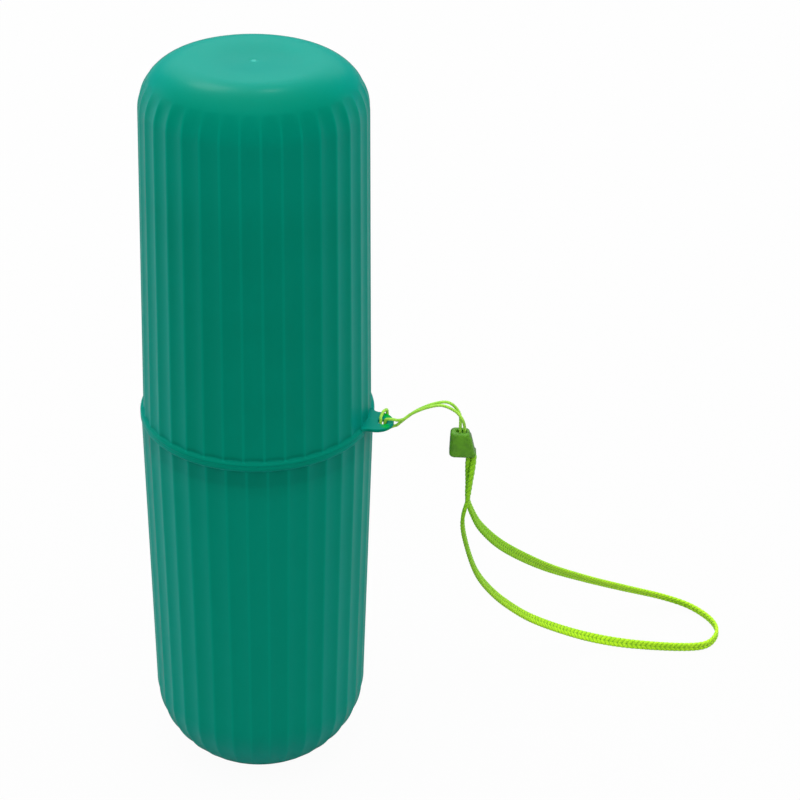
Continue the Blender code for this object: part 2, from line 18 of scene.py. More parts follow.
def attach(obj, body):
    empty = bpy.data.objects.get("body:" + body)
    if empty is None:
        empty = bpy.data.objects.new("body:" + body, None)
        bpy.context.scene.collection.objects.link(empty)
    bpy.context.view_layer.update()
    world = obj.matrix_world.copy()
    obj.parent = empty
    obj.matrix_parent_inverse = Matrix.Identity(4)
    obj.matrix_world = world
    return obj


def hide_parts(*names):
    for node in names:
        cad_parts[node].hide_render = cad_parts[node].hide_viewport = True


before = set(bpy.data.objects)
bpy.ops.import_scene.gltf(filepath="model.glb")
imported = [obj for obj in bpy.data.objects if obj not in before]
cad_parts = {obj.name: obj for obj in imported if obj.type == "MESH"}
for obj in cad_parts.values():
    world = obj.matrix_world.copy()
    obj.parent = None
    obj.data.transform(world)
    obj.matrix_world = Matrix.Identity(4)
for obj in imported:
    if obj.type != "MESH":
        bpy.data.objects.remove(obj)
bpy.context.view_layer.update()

MM = 0.001

# %% [markdown]
# ## The camera
#
# The view could be set by eye, but an eye can't tell a long lens far off from a short one near by.
# It was worked out from the outline of the case and from the ellipse of its rim instead: a long
# lens, about half a metre away, looking 30 degrees down. The picture is turned by 2 degrees, which
# is a roll of the camera about its own line of sight. A shift would do the same for one view only,
# so the lens has none.

# %% Set the camera
FOCAL_LENGTH = 81.18
CAMERA_PLACE = Vector((135.99, -401.51, 360.32)) * MM
CAMERA_AIM = Vector((-0.2018, 0.8406, -0.5026))
CAMERA_ROLL = math.radians(1.95)


def add_object(name, data):
    """An object of the scene that holds this data."""
    thing = bpy.data.objects.new(name, data)
    bpy.context.scene.collection.objects.link(thing)
    return thing


def add_camera():
    """The camera that sees the case as the picture does."""
    data = bpy.data.cameras.new("picture_camera")
    data.lens = FOCAL_LENGTH
    data.sensor_width = 36
    data.clip_start = 0.01
    camera = add_object("picture_camera", data)
    camera.location = CAMERA_PLACE
    camera.rotation_mode = "QUATERNION"
    aim = CAMERA_AIM.to_track_quat("-Z", "Y")
    camera.rotation_quaternion = aim @ Quaternion((0, 0, 1), CAMERA_ROLL)
    bpy.context.scene.camera = camera
    return camera


print("camera:", add_camera().name, "lens", FOCAL_LENGTH)

# %% [markdown]
# ## Shader maths as plain sums
#
# A finish is a drawing of nodes. Written out link by link it is hard to read, so a small class
# holds one output of a node and knows plus, minus, times and power: `1 - mask` then adds the Math
# node by itself. Every other node comes from one method that takes the node's type, its settings
# and its inputs.

# %% Make a wire that can be added and multiplied
class Wire:
    """One output of a shader node, so that sums and products can be written as such."""

    def __init__(self, drawing, socket):
        self.drawing = drawing
        self.socket = socket

    def __add__(self, other):
        return self.drawing.maths("ADD", self, other)

    def __sub__(self, other):
        return self.drawing.maths("SUBTRACT", self, other)

    def __rsub__(self, other):
        return self.drawing.maths("SUBTRACT", other, self)

    def __mul__(self, other):
        return self.drawing.maths("MULTIPLY", self, other)

    def __pow__(self, other):
        return self.drawing.maths("POWER", self, other)

    __radd__ = __add__
    __rmul__ = __mul__


print("a wire knows plus, minus, times and power")

# %% Make a drawing that takes any node
class Drawing:
    """A tree of nodes, and the one method that adds any node to it."""

    def __init__(self, tree):
        self.tree = tree

    def node(self, kind, settings=None, inputs=None, output=0):
        """A node of this kind. Its settings are made first, then its inputs are set or linked."""
        made = self.tree.nodes.new("ShaderNode" + kind)
        for setting, value in (settings or {}).items():
            setattr(made, setting, value)
        for socket, value in (inputs or {}).items():
            self.connect(made.inputs[socket], value)
        return Wire(self, made.outputs[output])

    def connect(self, socket, value):
        """Links a wire to a socket, or sets a plain value on it."""
        if isinstance(value, Wire):
            self.tree.links.new(value.socket, socket)
        else:
            socket.default_value = value

    def maths(self, operation, *values):
        """One operation on numbers, such as a cosine."""
        return self.node("Math", {"operation": operation}, dict(enumerate(values)))

    def vector_maths(self, operation, *values, output=0):
        """One operation on vectors. A length, a distance or a product comes out of output 1."""
        return self.node("VectorMath", {"operation": operation}, dict(enumerate(values)), output)

    def parts(self, vector):
        """The three numbers of a vector, each on a wire of its own."""
        split = self.node("SeparateXYZ", None, {0: vector}).socket.node
        return [Wire(self, output) for output in split.outputs]


print("a drawing takes any node")

# %% Make a finish from a drawing
class Finish(Drawing):
    """A material with a Principled shader, and the masks and reliefs that its surface needs."""

    def __init__(self, name):
        self.material = bpy.data.materials.new(name)
        self.material.use_nodes = True
        super().__init__(self.material.node_tree)
        self.shader = self.tree.nodes["Principled BSDF"]

    def set(self, **values):
        """Sets or links the shader's own sockets, with _ for a space in their names."""
        for name, value in values.items():
            self.connect(self.shader.inputs[name.replace("_", " ")], value)

    def place(self):
        """The place on the object, in its own metres."""
        return self.node("TexCoord", output="Object")

    def slant(self):
        """0 where the surface faces the eye, 1 where it is seen edge on."""
        return self.node("LayerWeight", output="Facing")

    def noise(self, size, detail=2.0, at=None, stretch=None):
        """Soft noise whose blots are about this size in metres, from 0 to 1."""
        at = at or self.place()
        if stretch:
            at = self.vector_maths("MULTIPLY", at, stretch)
        return self.node("TexNoise", None, {"Vector": at, "Scale": 1 / size, "Detail": detail})

    def rise(self, value, low, high):
        """0 below low, 1 above high, and a soft slope between them."""
        inputs = {"Value": value, "From Min": low, "From Max": high}
        return self.node("MapRange", {"interpolation_type": "SMOOTHSTEP"}, inputs)

    def band(self, value, low, full, past, high):
        """1 from full to past, with a soft slope up to it from low and down from it to high."""
        return self.rise(value, low, full) * (1 - self.rise(value, past, high))

    def blend(self, share, first, second):
        """The first colour where the share is 0 and the second where it is 1."""
        return self.node("Mix", {"data_type": "RGBA"}, {0: share, 6: first, 7: second}, output=2)

    def bump(self, height, depth, normal=None):
        """The relief that a height from 0 to 1 gives when 1 stands this many metres proud."""
        inputs = {"Height": height, "Distance": depth}
        if normal:
            inputs["Normal"] = normal
        return self.node("Bump", None, inputs)


print("a finish knows place, slant, noise, rise, band, blend and bump")

# %% [markdown]
# ## Routes for the cord and the strap
#
# A lanyard is soft, but its length is fixed. It could be dropped in a simulation, which would let
# it fall anywhere. Both lines below are the ones that the solid model follows: a few given places,
# and a smooth curve drawn through them. The cord leaves the ferrule, arches to the lug, takes a
# turn through its hole and round its edge and comes back. The strap's places also say which way
# its width lies, because a flat tape twists as it hangs.

# %% Lay down the two routes
CORD_ROUTE = (
    (0.05653, 0.00483, 0.1086), (0.0565, 0.0047, 0.1121), (0.05577, 0.00386, 0.1152),
    (0.05372, 0.00361, 0.1174), (0.05024, 0.00292, 0.1188), (0.04636, 0.00211, 0.11785),
    (0.04275, 0.00115, 0.116), (0.04085, 0.00025, 0.1145), (0.0393, 0.00014, 0.11386),
    (0.0379, 0.00025, 0.11379), (0.0366, -5e-05, 0.11384), (0.03593, -0.00017, 0.1136),
    (0.0357, -0.0002, 0.1128), (0.0357, -0.00015, 0.112), (0.03565, 0.00025, 0.11145),
    (0.0355, 0.0013, 0.11128), (0.03525, 0.003, 0.11125), (0.0351, 0.00445, 0.11122),
    (0.03505, 0.00512, 0.11162), (0.03495, 0.00525, 0.1125), (0.03484, 0.0052, 0.11346),
    (0.03462, 0.00442, 0.11381), (0.03425, 0.0032, 0.11376), (0.03433, 0.00064, 0.11368),
    (0.03449, 0.0001, 0.113), (0.0345, -0.00015, 0.1121), (0.0346, -0.0006, 0.1115),
    (0.0351, -0.0011, 0.11128), (0.03625, -0.0009, 0.1112), (0.03715, 0.00045, 0.11117),
    (0.03785, 0.00135, 0.11118), (0.0386, 0.0013, 0.11155), (0.0392, 0.00098, 0.1123),
    (0.0411, 0.0018, 0.1141), (0.04394, 0.00275, 0.1164), (0.04812, 0.00376, 0.11855),
    (0.052, 0.00451, 0.11905), (0.05478, 0.00519, 0.1159), (0.05535, 0.0046, 0.1116),
    (0.05536, 0.00453, 0.1086),
)
STRAP_ROUTE = (
    (0.05843, 0.00527, 0.107, -0.24, 0.97, 0.0),
    (0.05918, 0.00545, 0.1036, -0.18, 0.99, 0.0),
    (0.05928, 0.00535, 0.1016, -0.03, 1.0, 0.0),
    (0.05911, 0.00405, 0.0965, -0.03, 1.0, 0.0),
    (0.05873, 0.00334, 0.0906, -0.03, 1.0, 0.05),
    (0.0574, 0.0044, 0.0824, -0.13, 0.94, 0.33),
    (0.05775, 0.01022, 0.0706, -0.27, 0.85, 0.44),
    (0.05933, 0.01876, 0.056, -0.31, 0.8, 0.5),
    (0.06185, 0.02933, 0.0427, -0.31, 0.79, 0.53),
    (0.06619, 0.03945, 0.0307, -0.28, 0.79, 0.54),
    (0.07313, 0.04953, 0.0193, -0.26, 0.79, 0.55),
    (0.08465, 0.06014, 0.0087, -0.18, 0.75, 0.64),
    (0.09628, 0.06694, 0.0029, -0.01, 0.5, 0.86),
    (0.10851, 0.06996, 0.00165, 0.0, 0.18, 0.98),
    (0.12073, 0.07289, 0.00163, 0.0, 0.0, 1.0),
    (0.12645, 0.07634, 0.00163, 0.0, 0.0, 1.0),
    (0.12859, 0.08239, 0.00163, -0.1, 0.0, 1.0),
    (0.12736, 0.08736, 0.00163, -0.14, -0.1, 1.0),
    (0.12334, 0.09186, 0.00165, -0.09, -0.25, 0.95),
    (0.11705, 0.0951, 0.002, 0.16, -0.38, 0.91),
    (0.10819, 0.09336, 0.0048, 0.46, -0.27, 0.82),
    (0.09639, 0.08195, 0.0138, 0.64, -0.03, 0.77),
    (0.0855, 0.06596, 0.0263, 0.7, 0.12, 0.71),
    (0.07508, 0.04768, 0.0413, 0.57, 0.36, 0.73),
    (0.06577, 0.02873, 0.059, 0.18, 0.67, 0.7),
    (0.06068, 0.01689, 0.0725, -0.1, 0.8, 0.6),
    (0.05854, 0.01064, 0.082, -0.2, 0.89, 0.4),
    (0.0576, 0.00841, 0.0879, -0.15, 0.96, 0.22),
    (0.05774, 0.00681, 0.0956, -0.08, 0.99, 0.08),
    (0.05793, 0.00527, 0.1016, -0.03, 1.0, 0.0),
    (0.05784, 0.00514, 0.1036, -0.18, 0.99, 0.0),
    (0.05709, 0.00495, 0.107, -0.24, 0.97, 0.0),
)

print("cord route:", len(CORD_ROUTE), "places, strap route:", len(STRAP_ROUTE), "places")

# %% Draw a smooth line through a route
def smooth_line(route, step):
    """Places an even step apart on a smooth curve through the route, with all its columns.

    Between two places the curve is the cubic that leaves each along the line between its two
    neighbours, so that it passes through every place without a kink."""
    points = np.array(route)
    chain = np.vstack([2 * points[0] - points[1], points, 2 * points[-1] - points[-2]])
    spans = []
    for i in range(1, len(chain) - 2):
        a, b, c, d = chain[i - 1 : i + 3]
        count = max(2, math.ceil(np.linalg.norm(c[:3] - b[:3]) / step))
        t = np.arange(count)[:, None] / count
        cubic = (3 * b - a - 3 * c + d) * t**3
        spans.append((2 * b + (c - a) * t + (2 * a - 5 * b + 4 * c - d) * t**2 + cubic) / 2)
    line = np.vstack([*spans, points[-1:]])
    run = run_along(line)
    at = np.linspace(0, run[-1], round(run[-1] / step) + 1)
    return np.column_stack([np.interp(at, run, column) for column in line.T])


def run_along(line):
    """How far along the line each of its places is."""
    steps = np.linalg.norm(np.diff(line[:, :3], axis=0), axis=1)
    return np.concatenate([[0.0], np.cumsum(steps)])


print("places a millimetre apart on the strap:", len(smooth_line(STRAP_ROUTE, 1 * MM)))

# %% [markdown]
# ## A skin over rings
#
# Nearly every piece here is a row of rings: the cups are turned, the cord and the strap are drawn
# along a line. A screw or a curve with a bevel would make plain ones, but no ridges that fade and
# no woven edge. So one function joins ring to ring with four-sided faces. A ring of a single place
# closes the skin to a point, and a full ring at an end gets a flat cap, so that each piece is a
# closed solid that could be printed.

# %% Join rings into closed meshes
def skin(name, rings, finish, body):
    """An object whose skin joins these rings of places, dressed and set to ride on a body."""
    places = np.vstack(rings)
    starts = np.cumsum([0] + [len(ring) for ring in rings])
    faces = []
    for k in range(len(rings) - 1):
        here, there = starts[k], starts[k + 1]
        n, m = len(rings[k]), len(rings[k + 1])
        for i in range(max(n, m)):
            j = (i + 1) % max(n, m)
            if n == 1:
                faces.append((here, there + j, there + i))
            elif m == 1:
                faces.append((here + i, here + j, there))
            else:
                faces.append((here + i, here + j, there + j, there + i))
    if len(rings[0]) > 1:
        faces.append(tuple(range(starts[1] - 1, -1, -1)))
    if len(rings[-1]) > 1:
        faces.append(tuple(range(starts[-2], starts[-1])))
    mesh = bpy.data.meshes.new(name)
    mesh.from_pydata(places.tolist(), [], faces)
    mesh.shade_smooth()
    return dress(name, mesh, finish, body)


print("rings can be joined, from a point, a cap or a ring to another")

# %% Dress a mesh and let it ride
def dress(name, mesh, finish, body):
    """Puts a mesh in the scene with its finish, riding on a body of the solid model."""
    mesh.materials.append(finish.material)
    piece = add_object(name, mesh)
    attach(piece, body)
    print(name, len(mesh.polygons), "faces")
    return piece


# %% Draw rings along a line
def sweep(line, across, outlines):
    """Rings along a line. Each outline holds distances across the line and through it."""
    ahead = ways_along(line)
    across = across - ahead * np.sum(across * ahead, axis=1)[:, None]
    across /= np.linalg.norm(across, axis=1)[:, None]
    through = np.cross(ahead, across)
    return (
        line[:, None]
        + outlines[..., :1] * across[:, None]
        + outlines[..., 1:] * through[:, None]
    )


def ways_along(line):
    """The direction in which the line runs at each of its places."""
    ahead = np.gradient(line, axis=0)
    return ahead / np.linalg.norm(ahead, axis=1)[:, None]


def carried(line):
    """A direction across the line that is carried along it without turning round it."""
    ahead = ways_along(line)
    across = [np.cross(ahead[0], (0.0, 1.0, 0.0))]
    for way in ahead[1:]:
        last = across[-1] - way * (across[-1] @ way)
        across.append(last / np.linalg.norm(last))
    return np.array(across)


print("rings can be swept along a line")

# %% [markdown]
# ## The cord's finish
#
# The cord is a round braid of thin shiny yarns. Its picks could be painted or bumped on, but they
# show against the light, so they are real relief in the mesh further down. The finish only adds
# what is smaller than they are: a slightly uneven dye, fine fibres, and a soft sheen at grazing
# light.

# %% Dye the cord
LIME_LIGHT = (0.46, 0.88, 0.07, 1)
LIME_DEEP = (0.28, 0.64, 0.03, 1)
CORD_DYE_BLOT = 1.5 * MM
CORD_FIBRE = 0.12 * MM
CORD_FIBRE_RELIEF = 0.02 * MM


def make_cord_finish():
    """Lime polyester yarn, a little uneven in its dye."""
    finish = Finish("lime_braid")
    dye = finish.rise(finish.noise(CORD_DYE_BLOT), 0.3, 0.7)
    fibres = finish.noise(CORD_FIBRE, detail=3.0)
    finish.set(
        Base_Color=finish.blend(dye * 0.6 + fibres * 0.4, LIME_LIGHT, LIME_DEEP),
        Roughness=0.5 + fibres * 0.25,
        Normal=finish.bump(fibres, CORD_FIBRE_RELIEF),
        Sheen_Weight=0.25,
        Sheen_Roughness=0.4,
    )
    return finish


cord_finish = make_cord_finish()
print("finish:", cord_finish.material.name)

# %% [markdown]
# ## The cord
#
# It is 0.85 mm thick and one piece from end to end. A curve with a round bevel would be smooth, so
# the tube is built from rings instead: on each ring the radius rises and falls where the two
# families of braided yarns cross, which gives the small oval picks of a real braid.

# %% Braid the cord
CORD_DIAMETER = 0.85 * MM
CORD_SIDES = 24
CORD_STEP = 0.11 * MM
PICK_LENGTH = 0.8 * MM
PICKS_ROUND = 4
PICK_RELIEF = 0.12


def braid_outlines(run):
    """The outline of the braid at each place of its run."""
    angle = np.arange(CORD_SIDES)[None] * math.tau / CORD_SIDES
    lean = run * math.pi / PICK_LENGTH
    turn = angle * PICKS_ROUND / 2
    picks = np.sqrt(np.abs(np.cos(turn + lean) * np.cos(turn - lean)))
    radius = CORD_DIAMETER / 2 * (1 - PICK_RELIEF * (1 - picks))
    return np.stack([radius * np.cos(angle), radius * np.sin(angle)], axis=-1)


def make_cord():
    """The cord as a braided tube along its route."""
    line = smooth_line(CORD_ROUTE, CORD_STEP)
    run = run_along(line)[:, None]
    rings = sweep(line, carried(line), braid_outlines(run))
    cord = skin("lanyard_cord_braid", rings, cord_finish, "upper_case")
    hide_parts("lanyard_cord")
    print("cord length in metres:", round(float(run[-1, 0]), 4))


make_cord()

# %% [markdown]
# ## The strap's finish
#
# The strap is woven from a brighter yarn whose stitches lie in two slanted rows, like the ears on
# a stalk. An image could be wrapped round it, but it would slide where the strap twists. Instead
# each place on the mesh remembers where it is in the weave: how far along its stitch, how far from
# the middle, and how proud the yarn stands there. The finish reads those three numbers. Yarn deep
# between two stitches gets a painted shade, fine fibres run the way that the stitch runs, and a
# painted shade makes the strap a deeper green the higher it hangs, towards its ends.

# %% Dye the strap
STRAP_LIGHT = (0.54, 0.93, 0.015, 1)
STRAP_MIDDLE = (0.37, 0.78, 0.006, 1)
STRAP_GROOVE_SHADE = (0.15, 0.38, 0.01, 1)
STRAP_HIGH_SHADE = (0.20, 0.58, 0.004, 1)
LIME_SHEEN = (0.6, 1.0, 0.3, 1)
HIGH_SHADE_FROM_Z = (12 * MM, 75 * MM)
STRAP_DYE_BLOT = 3 * MM
STRAP_FIBRE = 0.1 * MM
STRAP_FIBRE_RELIEF = 0.03 * MM
FIBRE_STRETCH = (1.0, 0.12, 0.0)


def make_strap_finish():
    """Lime polyester tape, with painted shade between its stitches and higher up."""
    finish = Finish("lime_tape")
    weave = finish.node("Attribute", {"attribute_name": "weave"}, output="Vector")
    proud = finish.parts(weave)[2]
    height = finish.parts(finish.place())[2]
    fibres = finish.noise(STRAP_FIBRE, at=weave, stretch=FIBRE_STRETCH)
    dye = finish.rise(finish.noise(STRAP_DYE_BLOT), 0.3, 0.7)
    face = finish.blend(dye * 0.5 + fibres * 0.4, STRAP_LIGHT, STRAP_MIDDLE)
    # painted shade: the tape is a deeper green the higher it hangs
    face = finish.blend(finish.rise(height, *HIGH_SHADE_FROM_Z) * 0.75, face, STRAP_HIGH_SHADE)
    finish.set(
        # painted shade on the yarn deep between the stitches
        Base_Color=finish.blend(finish.rise(proud, 0.1, 0.75), STRAP_GROOVE_SHADE, face),
        Roughness=0.55 + fibres * 0.25,
        Normal=finish.bump(fibres, STRAP_FIBRE_RELIEF),
        Sheen_Weight=0.15,
        Sheen_Roughness=0.4,
        Sheen_Tint=LIME_SHEEN,
        Specular_IOR_Level=0.3,
    )
    return finish


strap_finish = make_strap_finish()
print("finish:", strap_finish.material.name)

# %% [markdown]
# ## The strap
#
# A flat tape with round edges, 3 mm wide and 1 mm thick, and about 357 mm long from end to end.
# Its two rows of slanted stitches could be a bump in the finish, but then its edge would be
# straight. They are modelled: the outline of every ring swells and dips with them, so the edge is
# knobbly against the light as it is on the real one. Just below the ferrule the two ends are
# pressed against each other, which fattens them a little.

# %% Draw the outline of the tape
STRAP_WIDTH = 3.0 * MM
STRAP_THICKNESS = 1.0 * MM
STRAP_SIDES = 32


def tape_outline():
    """Even places round a flat tape with round edges: across, through, the outward direction at
    each, and how far along the outline each is from the middle of its face."""
    flat = STRAP_WIDTH / 2 - STRAP_THICKNESS / 2
    bend = math.pi * STRAP_THICKNESS / 2
    rim = 2 * flat + bend
    rows = []
    for i in range(STRAP_SIDES):
        s = (i + 0.5) / STRAP_SIDES * 2 * rim
        side = 1 if s < rim else -1
        p = s if s < rim else s - rim
        if p < flat:
            across, through, out = p, STRAP_THICKNESS / 2, (0.0, 1.0)
        elif p < flat + bend:
            a = math.pi / 2 - (p - flat) / (STRAP_THICKNESS / 2)
            out = (math.cos(a), math.sin(a))
            across, through = flat + out[0] * STRAP_THICKNESS / 2, out[1] * STRAP_THICKNESS / 2
        else:
            across, through, out = rim - p, -STRAP_THICKNESS / 2, (0.0, -1.0)
        middle = p if side > 0 else rim - p
        rows.append((side * across, side * through, side * out[0], side * out[1], middle))
    return np.array(rows), rim


print("half the outline of the tape in metres:", round(tape_outline()[1], 5))

# %% Raise the stitches
STITCH_PITCH = 1.55 * MM
STITCH_SLANT = 0.8
STITCH_RELIEF = 0.17 * MM
STITCH_SINK = 0.12 * MM
STITCH_ROUNDNESS = 0.6
GROOVE_HALF = 0.3 * MM
GROOVE_SHARE = 0.35


def weave_relief(run, middle, rim):
    """How far along its stitch each place is, and how proud it stands, from 0 to 1."""
    stitch = run - middle * STITCH_SLANT
    swell = np.abs(np.sin(math.pi * stitch / STITCH_PITCH)) ** STITCH_ROUNDNESS
    edge = np.clip(np.minimum(middle, rim - middle) / GROOVE_HALF, 0, 1)
    return stitch, swell * (GROOVE_SHARE + (1 - GROOVE_SHARE) * edge)


print("stitches in 10 mm:", round(10 * MM / STITCH_PITCH, 1))

# %% Weave the strap
STRAP_STEP = 0.2 * MM
PRESSED_FROM = (3.2 * MM, 4.4 * MM)
PRESSED_TO = (9 * MM, 14 * MM)
PRESSED_SWELL = 0.15 * MM


def make_strap():
    """The woven tape along its route."""
    table = smooth_line(STRAP_ROUTE, STRAP_STEP)
    line, across = table[:, :3], table[:, 3:]
    outline, rim = tape_outline()
    run = run_along(line)[:, None]
    middle = outline[None, :, 4]
    stitch, proud = weave_relief(run, middle, rim)
    to_end = np.minimum(run, run[-1] - run)
    pressed = np.interp(to_end, (*PRESSED_FROM, *PRESSED_TO), (0, 1, 1, 0))
    lift = proud * STITCH_RELIEF - STITCH_SINK + pressed * PRESSED_SWELL
    outlines = outline[None, :, :2] + outline[None, :, 2:4] * lift[..., None]
    rings = sweep(line, across, outlines)
    strap = skin("wrist_strap_weave", rings, strap_finish, "upper_case")
    weave = strap.data.attributes.new("weave", "FLOAT_VECTOR", "POINT")
    spread = np.stack([stitch, middle + 0 * stitch, proud], axis=-1)
    weave.data.foreach_set("vector", spread.astype(np.float32).ravel())
    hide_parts("wrist_strap")
    print("strap length in metres:", round(float(run[-1, 0]), 4))


make_strap()

# %% [markdown]
# ## Fluting
#
# Each cup has 36 shallow channels between narrow ridges. Turned solids can't have them, and cutting
# 36 grooves out of a smooth cup would leave hard edges. So every ring of a cup is pushed in by a
# depth that depends only on the angle. The places on a ring aren't spread evenly: they crowd where
# the channel's wall bends, which keeps the creases soft and the mesh small.

# %% Shape one flute and repeat it
FLUTE_COUNT = 36
FLUTE_DEPTH = 0.4 * MM
CREST_HALF = 0.075
CHANNEL_STATIONS = (0.03, 0.055, 0.085, 0.12, 0.17, 0.24, 0.34)


def flute_ring(turn=0.0):
    """The angles of the places on a ring, and the share of the full depth at each."""
    right = (*CHANNEL_STATIONS, 0.5)
    stations = (*(-t for t in reversed(CHANNEL_STATIONS)), 0.0, *right)
    angles, depths = [], []
    for k in range(FLUTE_COUNT):
        for t in stations:
            across = (0.5 - math.hypot(t, CREST_HALF)) / (0.5 - CREST_HALF)
            angles.append((k + t) * math.tau / FLUTE_COUNT + turn)
            depths.append(1 - max(0.0, across) ** 2)
    return np.array(angles), np.array(depths)


def ring_at(angles, radius, z):
    """A ring of places at these angles. Radius and height may differ from place to place."""
    radius = radius + 0 * angles
    return np.stack([radius * np.cos(angles), radius * np.sin(angles), z + 0 * angles], axis=-1)


print("places on a ring:", len(flute_ring()[0]))

# %% Name the sizes that the cups and their plastic share
RIM_RADIUS = 31.65 * MM
WALL = 1.4 * MM
TOP_Z = 210.0 * MM
FLANGE_TOP_Z = 112.68 * MM
SEAM_Z = 111.7 * MM
BEAD_HEIGHT = 1.5 * MM
BEAD_FOOT_Z = SEAM_Z - BEAD_HEIGHT
SPIGOT_FOOT_Z = 105.5 * MM
UPPER_TURN = math.radians(1.5)
LOWER_TURN = math.radians(3)

print("metres up to the seam and the flange:", round(SEAM_Z, 5), round(FLANGE_TOP_Z, 5))

# %% [markdown]
# ## The plastic of the cups
#
# Both cups are the same teal polypropylene, satin and very slightly translucent, so its colour
# tells how much plastic the light has come through. Much of their light and shade is painted into
# that colour as well. Painted shade deepens the teal where the spigot doubles the wall, which is
# partly the real deeper colour of doubled plastic, on the flange, in the crease over it, on the top
# face and along the outline. Painted light makes it paler on the lower cup and on the wall below
# the dome, a painted highlight runs along the narrow ridges and on the gate stub, a painted sheen
# makes it hazy where the surface is seen at a slant, and the cord's green is painted in the lug
# beside it as a glow. Full translucency and the lamps could give all that, but so thin a wall
# renders slowly
# and with grain, and an export loses it. So the shades are laid on in coats, as a painter would:
# each coat is a colour, and a mask that says where it lies.

# %% Name the shades of teal
TEAL = (0.0, 0.232, 0.150, 1)
TEAL_CLOUD = (0.0, 0.250, 0.166, 1)
TEAL_DEEP_SHADE = (0.0, 0.205, 0.134, 1)
TEAL_CREASE_SHADE = (0.0, 0.12, 0.08, 1)
TEAL_PAINTED_LIGHT = (0.0, 0.275, 0.185, 1)
TEAL_RIDGE_HIGHLIGHT = (0.0, 0.31, 0.21, 1)
TEAL_GATE_HIGHLIGHT = (0.12, 0.62, 0.54, 1)
TEAL_PAINTED_SHEEN = (0.0, 0.32, 0.27, 1)
CORD_PAINTED_GLOW = (0.0, 0.42, 0.01, 1)
TEAL_OUTLINE_SHADE = (0.0, 0.08, 0.07, 1)

print("shades of teal run from", TEAL_CREASE_SHADE[1], "to", TEAL_RIDGE_HIGHLIGHT[1], "in green")

# %% Say where the shades lie
def heights(base, *offsets):
    """Heights this many millimetres above a base."""
    return tuple(base + offset * MM for offset in offsets)


CLOUD_SIZE = 14 * MM
DOUBLED_WALL = (*heights(SPIGOT_FOOT_Z, -1.2, 0.6), *heights(BEAD_FOOT_Z, -0.1, 0.3))
LOWER_WALL = (100 * MM, SPIGOT_FOOT_Z)
CREASE_SHADE = heights(FLANGE_TOP_Z, -0.5, 0.0, 0.5, 1.5)
CREASE_SHADE_RADIUS = (31.3 * MM, 31.8 * MM)
FLANGE = heights(FLANGE_TOP_Z, -0.9, -0.7, 0.1, 0.3)
UNDER_DOME_LIGHT = (172 * MM, 190 * MM, 198 * MM, 204 * MM)
TOP_FACE = (207.5 * MM, 209.2 * MM)
TOP_FACE_RADIUS = (7 * MM, 14 * MM)
GATE_MARK = (204 * MM, 206 * MM)
GATE_MARK_RADIUS = (0.4 * MM, 1.2 * MM)
RIDGE_END = (200 * MM, 205.6 * MM)
RIDGE_WAVE = (0.82, 1.0)
SLANT_OF_PAINTED_SHEEN = (0.15, 0.8)
SLANT_OF_OUTLINE_SHADE = (0.87, 0.96)
CORD_SPOTS = ((0.0346, 0.0041, 0.1128), (0.0357, 0.0033, 0.1128), (0.0363, -0.0020, 0.1126))
GLOW_REACH = (0.6 * MM, 1.7 * MM)

print("the wall is doubled over this many metres:", round(BEAD_FOOT_Z - SPIGOT_FOOT_Z, 5))

# %% [markdown]
# ### A mask that knows the flutes
#
# The ridges get a painted highlight, but they are too narrow to find by height or slope. A cosine
# of the angle round the axis, times the number of flutes, is 1 on every ridge and falls off on both
# sides of it. The two cups are turned a little against each other, so the mask takes its turn from
# the cup that it is on.

# %% Mask the ridges
def ridge_mask(finish, place):
    """1 along the middle of every ridge on the walls, and 0 between them."""
    x, y, height = finish.parts(place)
    above = finish.rise(height, *heights(FLANGE_TOP_Z, -0.2, 0.0))
    below = 1 - finish.rise(height, *heights(BEAD_FOOT_Z, -0.2, 0.0))
    turn = above * (UPPER_TURN - LOWER_TURN) + LOWER_TURN
    angle = finish.maths("ARCTAN2", y, x)
    wave = finish.maths("COSINE", (angle - turn) * FLUTE_COUNT)
    short_of_top = 1 - finish.rise(height, *RIDGE_END)
    return finish.rise(wave, *RIDGE_WAVE) * (above + below) * short_of_top


print("ridges to mask on each cup:", FLUTE_COUNT)

